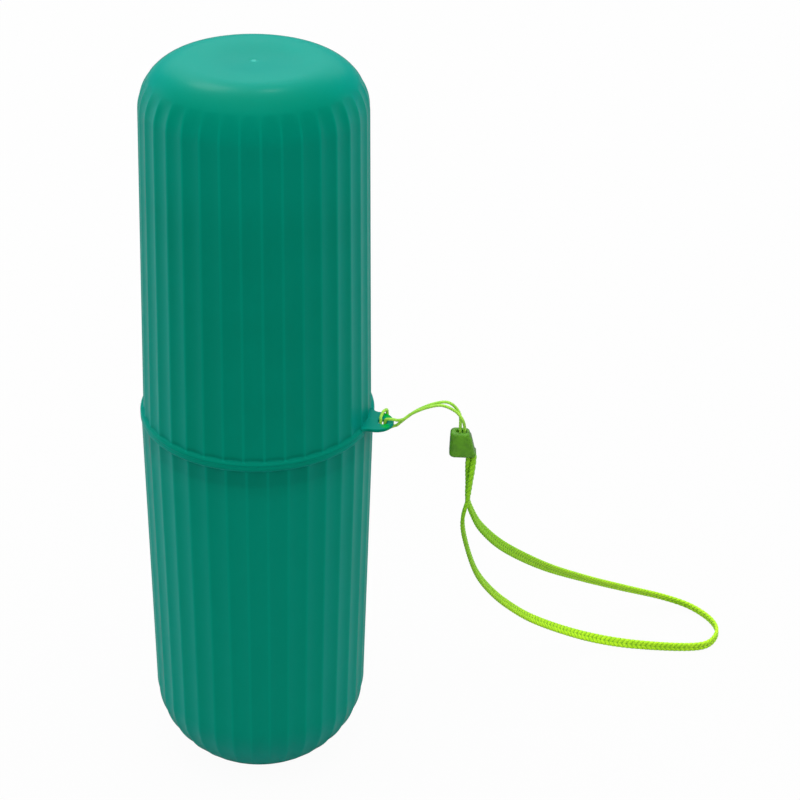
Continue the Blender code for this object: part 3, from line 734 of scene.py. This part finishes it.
# %% Lay the shades on in coats
def teal_coats(finish, place):
    """A mask and a colour for each coat, first to last; most are painted light or shade."""
    height = finish.parts(place)[2]
    flat = finish.vector_maths("MULTIPLY", place, (1, 1, 0))
    radius = finish.vector_maths("LENGTH", flat, output=1)
    slant = finish.slant()
    clouds = finish.rise(finish.noise(CLOUD_SIZE, detail=3.0, at=place), 0.35, 0.7)
    crease_shade = finish.band(height, *CREASE_SHADE) * (1 - finish.rise(radius, *CREASE_SHADE_RADIUS))
    under_dome_light = finish.band(height, *UNDER_DOME_LIGHT)
    face = finish.rise(height, *TOP_FACE) * (1 - finish.rise(radius, *TOP_FACE_RADIUS))
    gate_highlight = finish.rise(height, *GATE_MARK) * (1 - finish.rise(radius, *GATE_MARK_RADIUS))
    coats = [
        (clouds * 0.5, TEAL_CLOUD),
        # painted shade where the spigot doubles the wall, partly the real deeper colour of doubled
        # plastic
        (finish.band(height, *DOUBLED_WALL), TEAL_DEEP_SHADE),
        # painted light: the lower cup paler, as lit by the white floor below it
        ((1 - finish.rise(height, *LOWER_WALL)) * 0.5, TEAL_PAINTED_LIGHT),
        # painted shade in the crease over the flange
        (crease_shade * 0.4, TEAL_CREASE_SHADE),
        # painted shade on the flange
        (finish.band(height, *FLANGE) * 0.5, TEAL_DEEP_SHADE),
        # painted light on the wall below the dome
        (under_dome_light * 0.6, TEAL_PAINTED_LIGHT),
        # painted shade on the top face
        (face, TEAL_DEEP_SHADE),
        # painted highlight along the ridges, stronger below the dome
        (ridge_mask(finish, place) * (under_dome_light * 0.3 + 0.4), TEAL_RIDGE_HIGHLIGHT),
        # painted highlight on the gate stub
        (gate_highlight * 0.8, TEAL_GATE_HIGHLIGHT),
        # painted sheen where the surface is seen at a slant
        (finish.rise(slant, *SLANT_OF_PAINTED_SHEEN) * 0.7, TEAL_PAINTED_SHEEN),
    ]
    # painted glow: the cord's green shining through the lug beside it
    for spot in CORD_SPOTS:
        apart = finish.vector_maths("DISTANCE", place, spot, output=1)
        coats.append(((1 - finish.rise(apart, *GLOW_REACH)) * 0.75, CORD_PAINTED_GLOW))
    # painted shade along the outline
    return [*coats, (finish.rise(slant, *SLANT_OF_OUTLINE_SHADE) * 0.8, TEAL_OUTLINE_SHADE)]


print("places where the cord's green glows on the lug:", len(CORD_SPOTS))

# %% [markdown]
# ### The skin under the coats
#
# Under the coats lies the skin that the mould gave: a fine orange peel, a finer grain, and a few
# patches that handling has dulled. A lacquer would shine much more. Here a very thin coat is enough
# to catch the two small lamps on the dome.

# %% Mix the teal plastic
TEAL_GLOSS = (0.0, 1.0, 1.0, 1)
PEEL_SIZE = 1.3 * MM
PEEL_RELIEF = 0.012 * MM
GRAIN_SIZE = 0.16 * MM
GRAIN_RELIEF = 0.002 * MM
HANDLED_SIZE = 22 * MM


def make_teal():
    """Satin moulded polypropylene."""
    finish = Finish("teal_satin")
    place = finish.place()
    colour = TEAL
    for mask, shade in teal_coats(finish, place):
        colour = finish.blend(mask, colour, shade)
    peel = finish.noise(PEEL_SIZE, detail=1.0, at=place)
    grain = finish.noise(GRAIN_SIZE, at=place)
    handled = finish.rise(finish.noise(HANDLED_SIZE, detail=4.0, at=place), 0.45, 0.75)
    finish.set(
        Base_Color=colour,
        Roughness=0.36 + handled * 0.06 + grain * 0.06,
        Normal=finish.bump(grain, GRAIN_RELIEF, finish.bump(peel, PEEL_RELIEF)),
        IOR=1.49,
        Specular_IOR_Level=0.04,
        Specular_Tint=TEAL_GLOSS,
        Coat_Weight=0.02,
        Coat_Roughness=0.19,
        Subsurface_Weight=0.08,
        Subsurface_Radius=(0.2, 1.0, 0.8),
        Subsurface_Scale=1.5 * MM,
    )
    return finish


teal = make_teal()
print("finish:", teal.material.name)

# %% [markdown]
# ## The upper cup
#
# One closed skin: from the middle of the dished top over the dome, down the fluted wall, round the
# flange, down the spigot, then up the inside again. A thickness modifier could make the inside, but
# the real wall isn't even: the spigot steps in and the inside is smooth. The channels follow the
# wall and run on round the corner of the dome. There they get shallower and end flush, so the
# ridges melt into the smooth top.

# %% Dish the top
DISH_RADIUS = 13.0 * MM
DISH_DEPTH = 0.6 * MM
GATE_STUB = (
    (0.0, 0.16), (0.3, 0.17), (0.5, 0.14), (0.56, 0.05),
    (0.62, -0.08), (0.8, -0.1), (1.1, -0.03), (1.4, 0.0),
)


def dish_z(share):
    """The height of the dish at this share of its radius."""
    return TOP_Z - DISH_DEPTH * (1 - share**2) ** 2


def top_rings(angles):
    """The dished top with the stub that the moulding gate left in its middle. The stub is given
    in millimetres from the axis and over the dish."""
    rings = [ring_at(np.zeros(1), 0.0, dish_z(0.0) + GATE_STUB[0][1] * MM)]
    for r, lift in GATE_STUB[1:]:
        rings.append(ring_at(angles, r * MM, dish_z(r * MM / DISH_RADIUS) + lift * MM))
    for share in np.linspace(0.18, 1.0, 12):
        rings.append(ring_at(angles, DISH_RADIUS * share, dish_z(share)))
    return rings


print("the dish is", DISH_DEPTH, "metres deep")

# %% Round the dome and let the flutes end on it
UPPER_MOUTH_RADIUS = 30.8 * MM
UPPER_TAPER = 0.0238
UPPER_CORNER_RADIUS = 12.8 * MM
FLUTE_TOP_ANGLE = 39
FLUTE_FULL_ANGLE = 16
DOME_TURNS = (*np.linspace(90, 50, 12), *np.linspace(47, 2, 28))


def upper_wall(z):
    """The radius of the upper cup's wall at this height, over its ridges."""
    return UPPER_MOUTH_RADIUS - UPPER_TAPER * (z - FLANGE_TOP_Z)


def dome_rings(angles, depths):
    """The corner of the dome, where the flutes get shallower and end flush."""
    lean = math.atan(UPPER_TAPER)
    corner_z = TOP_Z - UPPER_CORNER_RADIUS
    corner_r = upper_wall(corner_z) - UPPER_CORNER_RADIUS / math.cos(lean)
    rings = []
    for turn in DOME_TURNS:
        a = math.radians(turn)
        fade = min(1.0, max(0.0, (FLUTE_TOP_ANGLE - turn) / (FLUTE_TOP_ANGLE - FLUTE_FULL_ANGLE)))
        reach = UPPER_CORNER_RADIUS - depths * FLUTE_DEPTH * (1 - (1 - fade) ** 2)
        r, z = corner_r + reach * math.cos(a), corner_z + reach * math.sin(a)
        rings.append(ring_at(angles, r, z))
    return rings


def arc(x, y, radius, start, end, steps=4):
    """Places on an arc round (x, y), from one angle in degrees to another."""
    turns = np.radians(np.linspace(start, end, steps + 1))
    return [(x + radius * math.cos(a), y + radius * math.sin(a)) for a in turns]


print("rings on the dome:", len(DOME_TURNS))

# %% Draw the profile of the upper cup's mouth
RIM_EDGE = 0.75 * MM
SEAM_HAIRLINE = 0.04 * MM
SEAM_EDGE = 0.07 * MM
SMALL_EDGE = 0.1 * MM
SPIGOT_RADIUS = 30.05 * MM
SPIGOT_LEAD = ((0.0, 0.6), (0.15, 0.2), (0.4, 0.0))


def mouth_profile():
    """The flange's edge, then down the spigot and up to the bore, as places (r, z). The spigot's
    foot is eased by its lead, in millimetres in from its side and up from its foot."""
    flange_foot = SEAM_Z + SEAM_HAIRLINE
    bore_r = UPPER_MOUTH_RADIUS - WALL
    profile = arc(RIM_RADIUS - RIM_EDGE, FLANGE_TOP_Z - RIM_EDGE, RIM_EDGE, 90, 0)
    profile += arc(RIM_RADIUS - SEAM_EDGE, flange_foot + SEAM_EDGE, SEAM_EDGE, 0, -90, 2)
    profile.append((SPIGOT_RADIUS + SMALL_EDGE, flange_foot))
    profile.append((SPIGOT_RADIUS, flange_foot - SMALL_EDGE))
    profile += [(SPIGOT_RADIUS - r * MM, SPIGOT_FOOT_Z + z * MM) for r, z in SPIGOT_LEAD]
    profile.append((bore_r + SMALL_EDGE, SPIGOT_FOOT_Z))
    return profile + [(bore_r, SPIGOT_FOOT_Z + SMALL_EDGE), (bore_r, FLANGE_TOP_Z)]


print("places from the flange to the bore:", len(mouth_profile()))

# %% Turn the upper cup
def make_upper_cup():
    """The cover with its flange and its spigot."""
    angles, depths = flute_ring(UPPER_TURN)
    rings = top_rings(angles) + dome_rings(angles, depths)
    for z in np.linspace(TOP_Z - UPPER_CORNER_RADIUS - 3 * MM, FLANGE_TOP_Z + 0.5 * MM, 8):
        rings.append(ring_at(angles, upper_wall(z) - depths * FLUTE_DEPTH, z))
    foot = UPPER_MOUTH_RADIUS - depths * FLUTE_DEPTH
    rings.append(ring_at(angles, foot + 0.02 * MM, FLANGE_TOP_Z + 0.2 * MM))
    radius = UPPER_CORNER_RADIUS - WALL
    ceiling_z = TOP_Z - DISH_DEPTH - WALL
    corner_z = ceiling_z - radius
    inner_r = upper_wall(corner_z) - WALL - radius
    profile = mouth_profile() + arc(inner_r, corner_z, radius, 1, 90, 12)
    rings += [ring_at(angles, r, z) for r, z in profile]
    rings.append(ring_at(np.zeros(1), 0.0, ceiling_z))
    cup = skin("upper_cup_moulding", rings, teal, "upper_case")
    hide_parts("upper_cup")


make_upper_cup()

# %% [markdown]
# ## The lug
#
# A flat tab of the flange with a round end and a hole. Cut from a slab by Booleans it would keep
# sharp inner corners, where the real one flows out of the flange in two small fillets, because a
# sharp corner would tear. So its outline is drawn with the fillets in it. The plate is filled in
# between the outline and the hole, drawn down to its thickness, and rounded with a bevel.

# %% Draw the outline of the lug
LUG_HALF = 4.8 * MM
LUG_END_X = 33.2 * MM
LUG_FILLET = 1.5 * MM
LUG_ROOT_RADIUS = 30.6 * MM


def lug_outline():
    """The outline of the lug, from one root over its round end to the other."""
    fillet_y = LUG_HALF + LUG_FILLET
    fillet_x = math.sqrt((RIM_RADIUS + LUG_FILLET) ** 2 - fillet_y**2)
    reach = math.degrees(math.atan2(fillet_y, fillet_x))
    side = arc(0, 0, LUG_ROOT_RADIUS, reach, reach, 0)
    side += arc(fillet_x, fillet_y, LUG_FILLET, 180 + reach, 270, 6)
    side += arc(LUG_END_X, 0, LUG_HALF, 90, 0, 18)
    root = arc(0, 0, LUG_ROOT_RADIUS, -reach, reach, 6)[1:-1]
    return side + [(x, -y) for x, y in side[-2::-1]] + root


print("places round the lug:", len(lug_outline()))

# %% Cut the lug and round its edges
LUG_TOP_Z = 112.82 * MM
LUG_THICKNESS = 0.97 * MM
LUG_EDGE = 0.26 * MM
LUG_EDGE_ANGLE = math.radians(50)
HOLE_X = 35.1 * MM
HOLE_RADIUS = 1.25 * MM
HOLE_SIDES = 40


def make_lug():
    """The plate of the lug with its hole."""
    shape = bmesh.new()
    hole = arc(HOLE_X, 0, HOLE_RADIUS, 0, 360, HOLE_SIDES)[:-1]
    for loop in (lug_outline(), hole):
        corners = [shape.verts.new((x, y, LUG_TOP_Z)) for x, y in loop]
        for a, b in zip(corners, corners[1:] + corners[:1]):
            shape.edges.new((a, b))
    bmesh.ops.triangle_fill(shape, use_beauty=True, edges=shape.edges[:])
    grown = bmesh.ops.extrude_face_region(shape, geom=shape.faces[:])
    for vert in grown["geom"]:
        if isinstance(vert, bmesh.types.BMVert):
            vert.co.z -= LUG_THICKNESS
    bmesh.ops.recalc_face_normals(shape, faces=shape.faces)
    mesh = bpy.data.meshes.new("upper_cup_lug")
    shape.to_mesh(mesh)
    shape.free()
    mesh.shade_smooth()
    lug = dress("upper_cup_lug", mesh, teal, "upper_case")
    bevel = lug.modifiers.new("Rounded edges", "BEVEL")
    bevel.width = LUG_EDGE
    bevel.segments = 3
    bevel.angle_limit = LUG_EDGE_ANGLE
    bevel.harden_normals = True


make_lug()

# %% [markdown]
# ## The lower cup
#
# The same idea upside down: from the bead round its rim down the fluted wall, round the large
# corner to the flat base, then up the inside to the socket that takes the spigot. It could be the
# upper cup mirrored, but its corner is nearly twice as large. Its channels get shallower all the
# way round that corner and are gone before the base, so the foot stays a clean circle.

# %% Round the foot and let the flutes end on it
LOWER_MOUTH_RADIUS = 31.4 * MM
LOWER_TAPER = 0.0108
LOWER_CORNER_RADIUS = 24.1 * MM
FLUTE_FOOT_RADII = (21.5 * MM, 29.0 * MM)
FOOT_STEPS = 36


def lower_wall(z):
    """The radius of the lower cup's wall at this height, over its ridges."""
    return LOWER_MOUTH_RADIUS - LOWER_TAPER * (SEAM_Z - z)


def corner_rings(angles, depths, corner_r, corner_z, foot):
    """The round corner, whose channels fade out before the base."""
    rings = []
    for turn in np.linspace(-1, foot, FOOT_STEPS):
        a = math.radians(turn)
        r = corner_r + LOWER_CORNER_RADIUS * math.cos(a)
        z = corner_z + LOWER_CORNER_RADIUS * math.sin(a)
        fade = float(np.interp(r, FLUTE_FOOT_RADII, (0, 1)))
        fade = fade * fade * (3 - 2 * fade)
        depth = depths * FLUTE_DEPTH * fade
        rings.append(ring_at(angles, r - depth * math.cos(a), z - depth * math.sin(a)))
    return rings


print("rings on the foot's corner:", FOOT_STEPS)

# %% Draw the lower cup's inside and rim
BEAD_EDGE = 0.5 * MM
SOCKET_RADIUS = 30.35 * MM
SOCKET_FOOT_Z = 104.7 * MM
SOCKET_STEP = 0.8 * MM
SOCKET_EASE = 0.3 * MM


def inside_profile(corner_r, corner_z):
    """From the floor's edge up the inner wall to the step at the socket's foot."""
    radius = LOWER_CORNER_RADIUS - WALL
    inner_foot = math.degrees(math.acos((corner_z - WALL) / radius))
    corner = arc(corner_r, corner_z, radius, inner_foot - 90, -1, 14)
    return corner + [(lower_wall(SOCKET_FOOT_Z) - WALL, SOCKET_FOOT_Z)]


def rim_profile():
    """Up the socket, over the rim and down the bead."""
    profile = [(SOCKET_RADIUS, SOCKET_FOOT_Z + SOCKET_STEP), (SOCKET_RADIUS, SEAM_Z - SOCKET_EASE)]
    profile.append((SOCKET_RADIUS + SOCKET_EASE, SEAM_Z))
    profile += arc(RIM_RADIUS - SEAM_EDGE, SEAM_Z - SEAM_EDGE, SEAM_EDGE, 90, 0, 2)
    return profile + arc(RIM_RADIUS - BEAD_EDGE, BEAD_FOOT_Z + BEAD_EDGE, BEAD_EDGE, 0, -60)


print("places from the socket to the bead:", len(rim_profile()))

# %% Turn the lower cup
BASE_FLAT_RADIUS = 17.0 * MM
BASE_RING_RADIUS = 8 * MM


def make_lower_cup():
    """The body that stands on the table."""
    angles, depths = flute_ring(LOWER_TURN)
    lean = math.atan(LOWER_TAPER)
    corner_r = lower_wall(LOWER_CORNER_RADIUS) - LOWER_CORNER_RADIUS / math.cos(lean)
    foot = math.asin((BASE_FLAT_RADIUS - corner_r) / LOWER_CORNER_RADIUS)
    corner_z = LOWER_CORNER_RADIUS * math.cos(foot)
    rings = [ring_at(np.zeros(1), 0.0, WALL)]
    profile = inside_profile(corner_r, corner_z) + rim_profile()
    rings += [ring_at(angles, r, z) for r, z in profile]
    foot_r = lower_wall(BEAD_FOOT_Z) - depths * FLUTE_DEPTH
    rings.append(ring_at(angles, foot_r + 0.04 * MM, BEAD_FOOT_Z - 0.05 * MM))
    for z in np.linspace(BEAD_FOOT_Z - 0.3 * MM, corner_z + 0.5 * MM, 7):
        rings.append(ring_at(angles, lower_wall(z) - depths * FLUTE_DEPTH, z))
    rings += corner_rings(angles, depths, corner_r, corner_z, math.degrees(foot) - 90)
    rings += [ring_at(angles, BASE_RING_RADIUS, 0.0), ring_at(np.zeros(1), 0.0, 0.0)]
    cup = skin("lower_cup_moulding", rings, teal, "lower_case")
    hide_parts("lower_cup")


make_lower_cup()

# %% [markdown]
# ## The ferrule's finish
#
# The ferrule is a softer plastic than the cups, with a fine matt grain. It lets light through where
# it is thin, so its lit top is paler, and its edges go darker where the eye looks through more of
# it. A little light under the surface gives the first, and a painted shade from a slant mask gives
# the second, without a glass that would need many bounces.

# %% Mix the ferrule's soft green plastic
FERRULE_GREEN = (0.085, 0.27, 0.012, 1)
FERRULE_LIT = (0.13, 0.40, 0.012, 1)
FERRULE_OUTLINE_SHADE = (0.07, 0.15, 0.05, 1)
FERRULE_CLOUD = 2.5 * MM
FERRULE_GRAIN = 0.15 * MM
FERRULE_GRAIN_RELIEF = 0.006 * MM


def make_ferrule_finish():
    """Soft translucent plastic with a fine matt grain, and painted shade along its outline."""
    finish = Finish("green_soft_plastic")
    clouds = finish.rise(finish.noise(FERRULE_CLOUD), 0.35, 0.7)
    grain = finish.noise(FERRULE_GRAIN)
    slant = finish.slant()
    colour = finish.blend(clouds * 0.6, FERRULE_GREEN, FERRULE_LIT)
    finish.set(
        # painted shade along the outline, where the block is seen at a slant
        Base_Color=finish.blend(finish.rise(slant, 0.55, 0.9) * 0.8, colour, FERRULE_OUTLINE_SHADE),
        Roughness=0.4 + grain * 0.12,
        Normal=finish.bump(grain, FERRULE_GRAIN_RELIEF),
        Specular_IOR_Level=0.25,
        Subsurface_Weight=0.15,
        Subsurface_Radius=(0.6, 1.0, 0.3),
        Subsurface_Scale=1.0 * MM,
    )
    return finish


ferrule_finish = make_ferrule_finish()
print("finish:", ferrule_finish.material.name)

# %% [markdown]
# ## The ferrule
#
# A small soft moulding joins the cord to the strap. It is a tapered block with well rounded edges.
# Its top has a pocket with a soft lip for both ends of the cord, and a slanted pocket below takes
# both ends of the strap. A cube with a bevel could make the block, but not the lip. So the block is
# a stack of rounded rectangles that turns inward at the top and runs down into the pocket, and only
# the plain pocket below is cut with a Boolean.

# %% Stack the ferrule's rings
FERRULE_HEIGHT = 7.4 * MM
FERRULE_TOP = (5.3 * MM, 4.4 * MM)
FERRULE_BOTTOM = (7.3 * MM, 5.0 * MM)
FERRULE_FOOT_X = 0.4 * MM
FERRULE_LEAN = 0.9 * MM
FERRULE_CORNER = 1.3 * MM
FERRULE_EDGE = 1.0 * MM
FERRULE_SIDES = 64


def soft_rectangle(half_x, half_y, corner, x=0.0):
    """Places round a rectangle with round corners, from the middle of its right side."""
    corner = min(corner, half_x, half_y)
    places = []
    for k, (sx, sy) in enumerate(((1, 1), (-1, 1), (-1, -1), (1, -1))):
        cx, cy = x + sx * (half_x - corner), sy * (half_y - corner)
        places += arc(cx, cy, corner, 90 * k, 90 * k + 90, FERRULE_SIDES // 4 - 1)
    return np.array(places)


def ferrule_ring(share, inset, z):
    """A ring of the block: share is 0 at its foot and 1 at its top."""
    half_x = (FERRULE_BOTTOM[0] + (FERRULE_TOP[0] - FERRULE_BOTTOM[0]) * share) / 2
    half_y = (FERRULE_BOTTOM[1] + (FERRULE_TOP[1] - FERRULE_BOTTOM[1]) * share) / 2
    corner = FERRULE_CORNER - inset * 0.6
    x = FERRULE_FOOT_X - FERRULE_LEAN * share
    return at_height(soft_rectangle(half_x - inset, half_y - inset, corner, x), z)


def at_height(flat, z):
    """A flat outline as a ring of places at this height."""
    return np.column_stack([flat, np.full(len(flat), z)])


print("places on a ring of the ferrule:", len(ferrule_ring(0.0, 0.0, 0.0)))

# %% Take the rings down into the cord's pocket
CORD_POCKET = (1.5 * MM, 0.78 * MM)
CORD_POCKET_CORNER = 0.75 * MM
CORD_POCKET_DEPTH = 2.9 * MM
CORD_POCKET_X = -0.1 * MM
CORD_POCKET_LIP = ((0.35, 0.0), (0.15, 0.08), (0.04, 0.2), (0.0, 0.4), (0.0, 2.9))


def block_rings():
    """The block from its foot up its sides to the lip."""
    rings = [np.array([[0.0, 0.0, 0.0]])]
    for a in np.radians(np.linspace(90, 0, 7)):
        inset = FERRULE_EDGE * (1 - math.cos(a))
        rings.append(ferrule_ring(0.0, inset, FERRULE_EDGE * (1 - math.sin(a))))
    for share in np.linspace(0.2, 0.8, 5):
        rings.append(ferrule_ring(share, 0.0, FERRULE_HEIGHT * share))
    for a in np.radians(np.linspace(0, 90, 7)):
        inset = FERRULE_EDGE * (1 - math.cos(a)) * 0.8
        z = FERRULE_HEIGHT - FERRULE_EDGE * (1 - math.sin(a))
        rings.append(ferrule_ring(1.0, inset, z))
    return rings


def pocket_rings():
    """The lip and the cord's pocket, by how far in millimetres they open and lie deep."""
    rings = []
    for grow, deep in CORD_POCKET_LIP:
        half_x, half_y = (half + grow * MM for half in CORD_POCKET)
        flat = soft_rectangle(half_x, half_y, CORD_POCKET_CORNER, CORD_POCKET_X)
        rings.append(at_height(flat, FERRULE_HEIGHT - deep * MM))
    return rings + [np.array([[CORD_POCKET_X, 0.0, FERRULE_HEIGHT - CORD_POCKET_DEPTH]])]


print("rings in the ferrule:", len(block_rings() + pocket_rings()))

# %% Mould the ferrule
FERRULE_PLACE = np.array((55.9, 4.66, 103.6)) * MM
FERRULE_TURN = math.radians(13.5)
STRAP_POCKET = (1.28 * MM, 1.8 * MM)
STRAP_POCKET_CORNER = 0.5 * MM
STRAP_POCKET_TIERS = ((-1.0 * MM, 2.62 * MM), (4.1 * MM, 1.58 * MM))
SHARP_ANGLE = math.radians(40)


def cut_away(piece, cutter):
    """Takes the cutter out of the piece for good, and removes the cutter."""
    step = piece.modifiers.new("Cut", "BOOLEAN")
    step.operation = "DIFFERENCE"
    step.solver = "EXACT"
    step.object = cutter
    bpy.context.view_layer.update()
    done = bpy.data.meshes.new_from_object(
        piece.evaluated_get(bpy.context.evaluated_depsgraph_get())
    )
    piece.modifiers.remove(step)
    piece.data = done
    bpy.data.objects.remove(cutter)


def hung(rings):
    """The rings turned and moved to where the lanyard hangs."""
    c, s = math.cos(FERRULE_TURN), math.sin(FERRULE_TURN)
    turn = np.array([[c, s, 0.0], [-s, c, 0.0], [0.0, 0.0, 1.0]])
    return [ring @ turn + FERRULE_PLACE for ring in rings]


def make_ferrule():
    """The block with both its pockets, set where the lanyard hangs."""
    rings = hung(block_rings() + pocket_rings())
    ferrule = skin("cord_ferrule_moulding", rings, ferrule_finish, "upper_case")
    tiers = [
        at_height(soft_rectangle(*STRAP_POCKET, STRAP_POCKET_CORNER, x), z)
        for z, x in STRAP_POCKET_TIERS
    ]
    cutter = skin("strap_slot", hung(tiers), ferrule_finish, "upper_case")
    cut_away(ferrule, cutter)
    ferrule.data.set_sharp_from_angle(angle=SHARP_ANGLE)
    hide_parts("cord_ferrule")


make_ferrule()

# %% [markdown]
# ## Floor and light
#
# The picture was taken on pure white. A lamp strong enough to bleach the floor would bleach the
# case too, so the floor and the world are white only where the camera looks straight at them. The
# light that falls on the case is a wide soft glow that is strongest overhead, like a tent with its
# lamp on top, so that the top is bright and the walls are deeper. A panel behind the case puts a
# sheen on the top, one on each side lights the slopes of the flutes, and the floor keeps a faint
# shadow.

# %% Lay the floor
FLOOR_SIZE = 6.0
FLOOR_GLOW = 0.96
FLOOR_GREY = (0.49, 0.49, 0.49, 1)
WHITE = (1, 1, 1, 1)


def make_floor():
    """A white table that keeps a faint shadow."""
    finish = Finish("white_table")
    finish.set(Base_Color=FLOOR_GREY, Roughness=0.9, Specular_IOR_Level=0.0)
    glow = finish.node("Emission", None, {"Color": WHITE})
    plain = Wire(finish, finish.shader.outputs["BSDF"])
    share = finish.node("LightPath", output="Is Camera Ray") * FLOOR_GLOW
    mixed = finish.node("MixShader", None, {0: share, 1: plain, 2: glow})
    finish.connect(finish.tree.nodes["Material Output"].inputs["Surface"], mixed)
    half = FLOOR_SIZE / 2
    corners = [(-half, -half, 0), (half, -half, 0), (half, half, 0), (-half, half, 0)]
    mesh = bpy.data.meshes.new("table_top")
    mesh.from_pydata(corners, [], [(0, 1, 2, 3)])
    mesh.materials.append(finish.material)
    floor = add_object("table_top", mesh)
    return floor


print("floor:", make_floor().name)

# %% Light the tent
SURROUND = 0.13
OVERHEAD = 3.6
OVERHEAD_FOCUS = 4.0
OVERHEAD_WAY = (0.0, -0.15, 0.989)


def make_world():
    """A soft glow, strongest overhead, and plain white where it is looked at."""
    world = bpy.data.worlds.new("light_tent")
    world.use_nodes = True
    sky = Drawing(world.node_tree)
    backdrop = sky.tree.nodes["Background"]
    sky.connect(backdrop.inputs["Color"], WHITE)
    way = sky.node("TexCoord", output="Generated")
    near = sky.vector_maths("DOT_PRODUCT", way, OVERHEAD_WAY, output=1)
    glow = sky.node("Clamp", None, {0: near}) ** OVERHEAD_FOCUS * OVERHEAD + SURROUND
    seen = sky.node("LightPath", output="Is Camera Ray")
    sky.connect(backdrop.inputs["Strength"], glow * (1 - seen) + seen)
    bpy.context.scene.world = world
    return world


print("world:", make_world().name)

# %% [markdown]
# ### The lamps
#
# The dome shows two soft highlights. Lamps bright enough for them would light up its whole side,
# so each is a small panel that shows in reflections only and sheds no light on the plastic.

# %% Hang the lamps
DOME_PLACE = (0, 0, 0.209)
PANELS = (
    ("back_panel", (-0.24, 0.76, 0.62), (0, 0, 0.21), 0.9, 0.4, 1.8),
    ("left_panel", (-0.8, 0.1, 0.3), (0, 0, 0.1), 0.5, 0.6, 1.2),
    ("right_panel", (0.68, 0.48, 0.3), (0, 0, 0.1), 0.5, 0.6, 1.0),
)
GLINTS = (
    ("near_glint", (-0.026, 0.272, 0.733), 0.06, 0.6),
    ("wide_glint", (-0.255, 0.254, 0.681), 0.16, 1.6),
)


def soft_panel(name, place, aim, width, height, power):
    """A large soft lamp at a place, turned to another place."""
    data = bpy.data.lights.new(name, "AREA")
    data.shape = "RECTANGLE"
    data.size = width
    data.size_y = height
    data.energy = power
    lamp = add_object(name, data)
    lamp.location = place
    lamp.rotation_mode = "QUATERNION"
    lamp.rotation_quaternion = (Vector(aim) - Vector(place)).to_track_quat("-Z", "Y")
    return lamp


for panel in PANELS:
    soft_panel(*panel)
for name, place, size, power in GLINTS:
    soft_panel(name, place, DOME_PLACE, size, size, power).visible_diffuse = False
bpy.context.scene.view_settings.view_transform = "Standard"
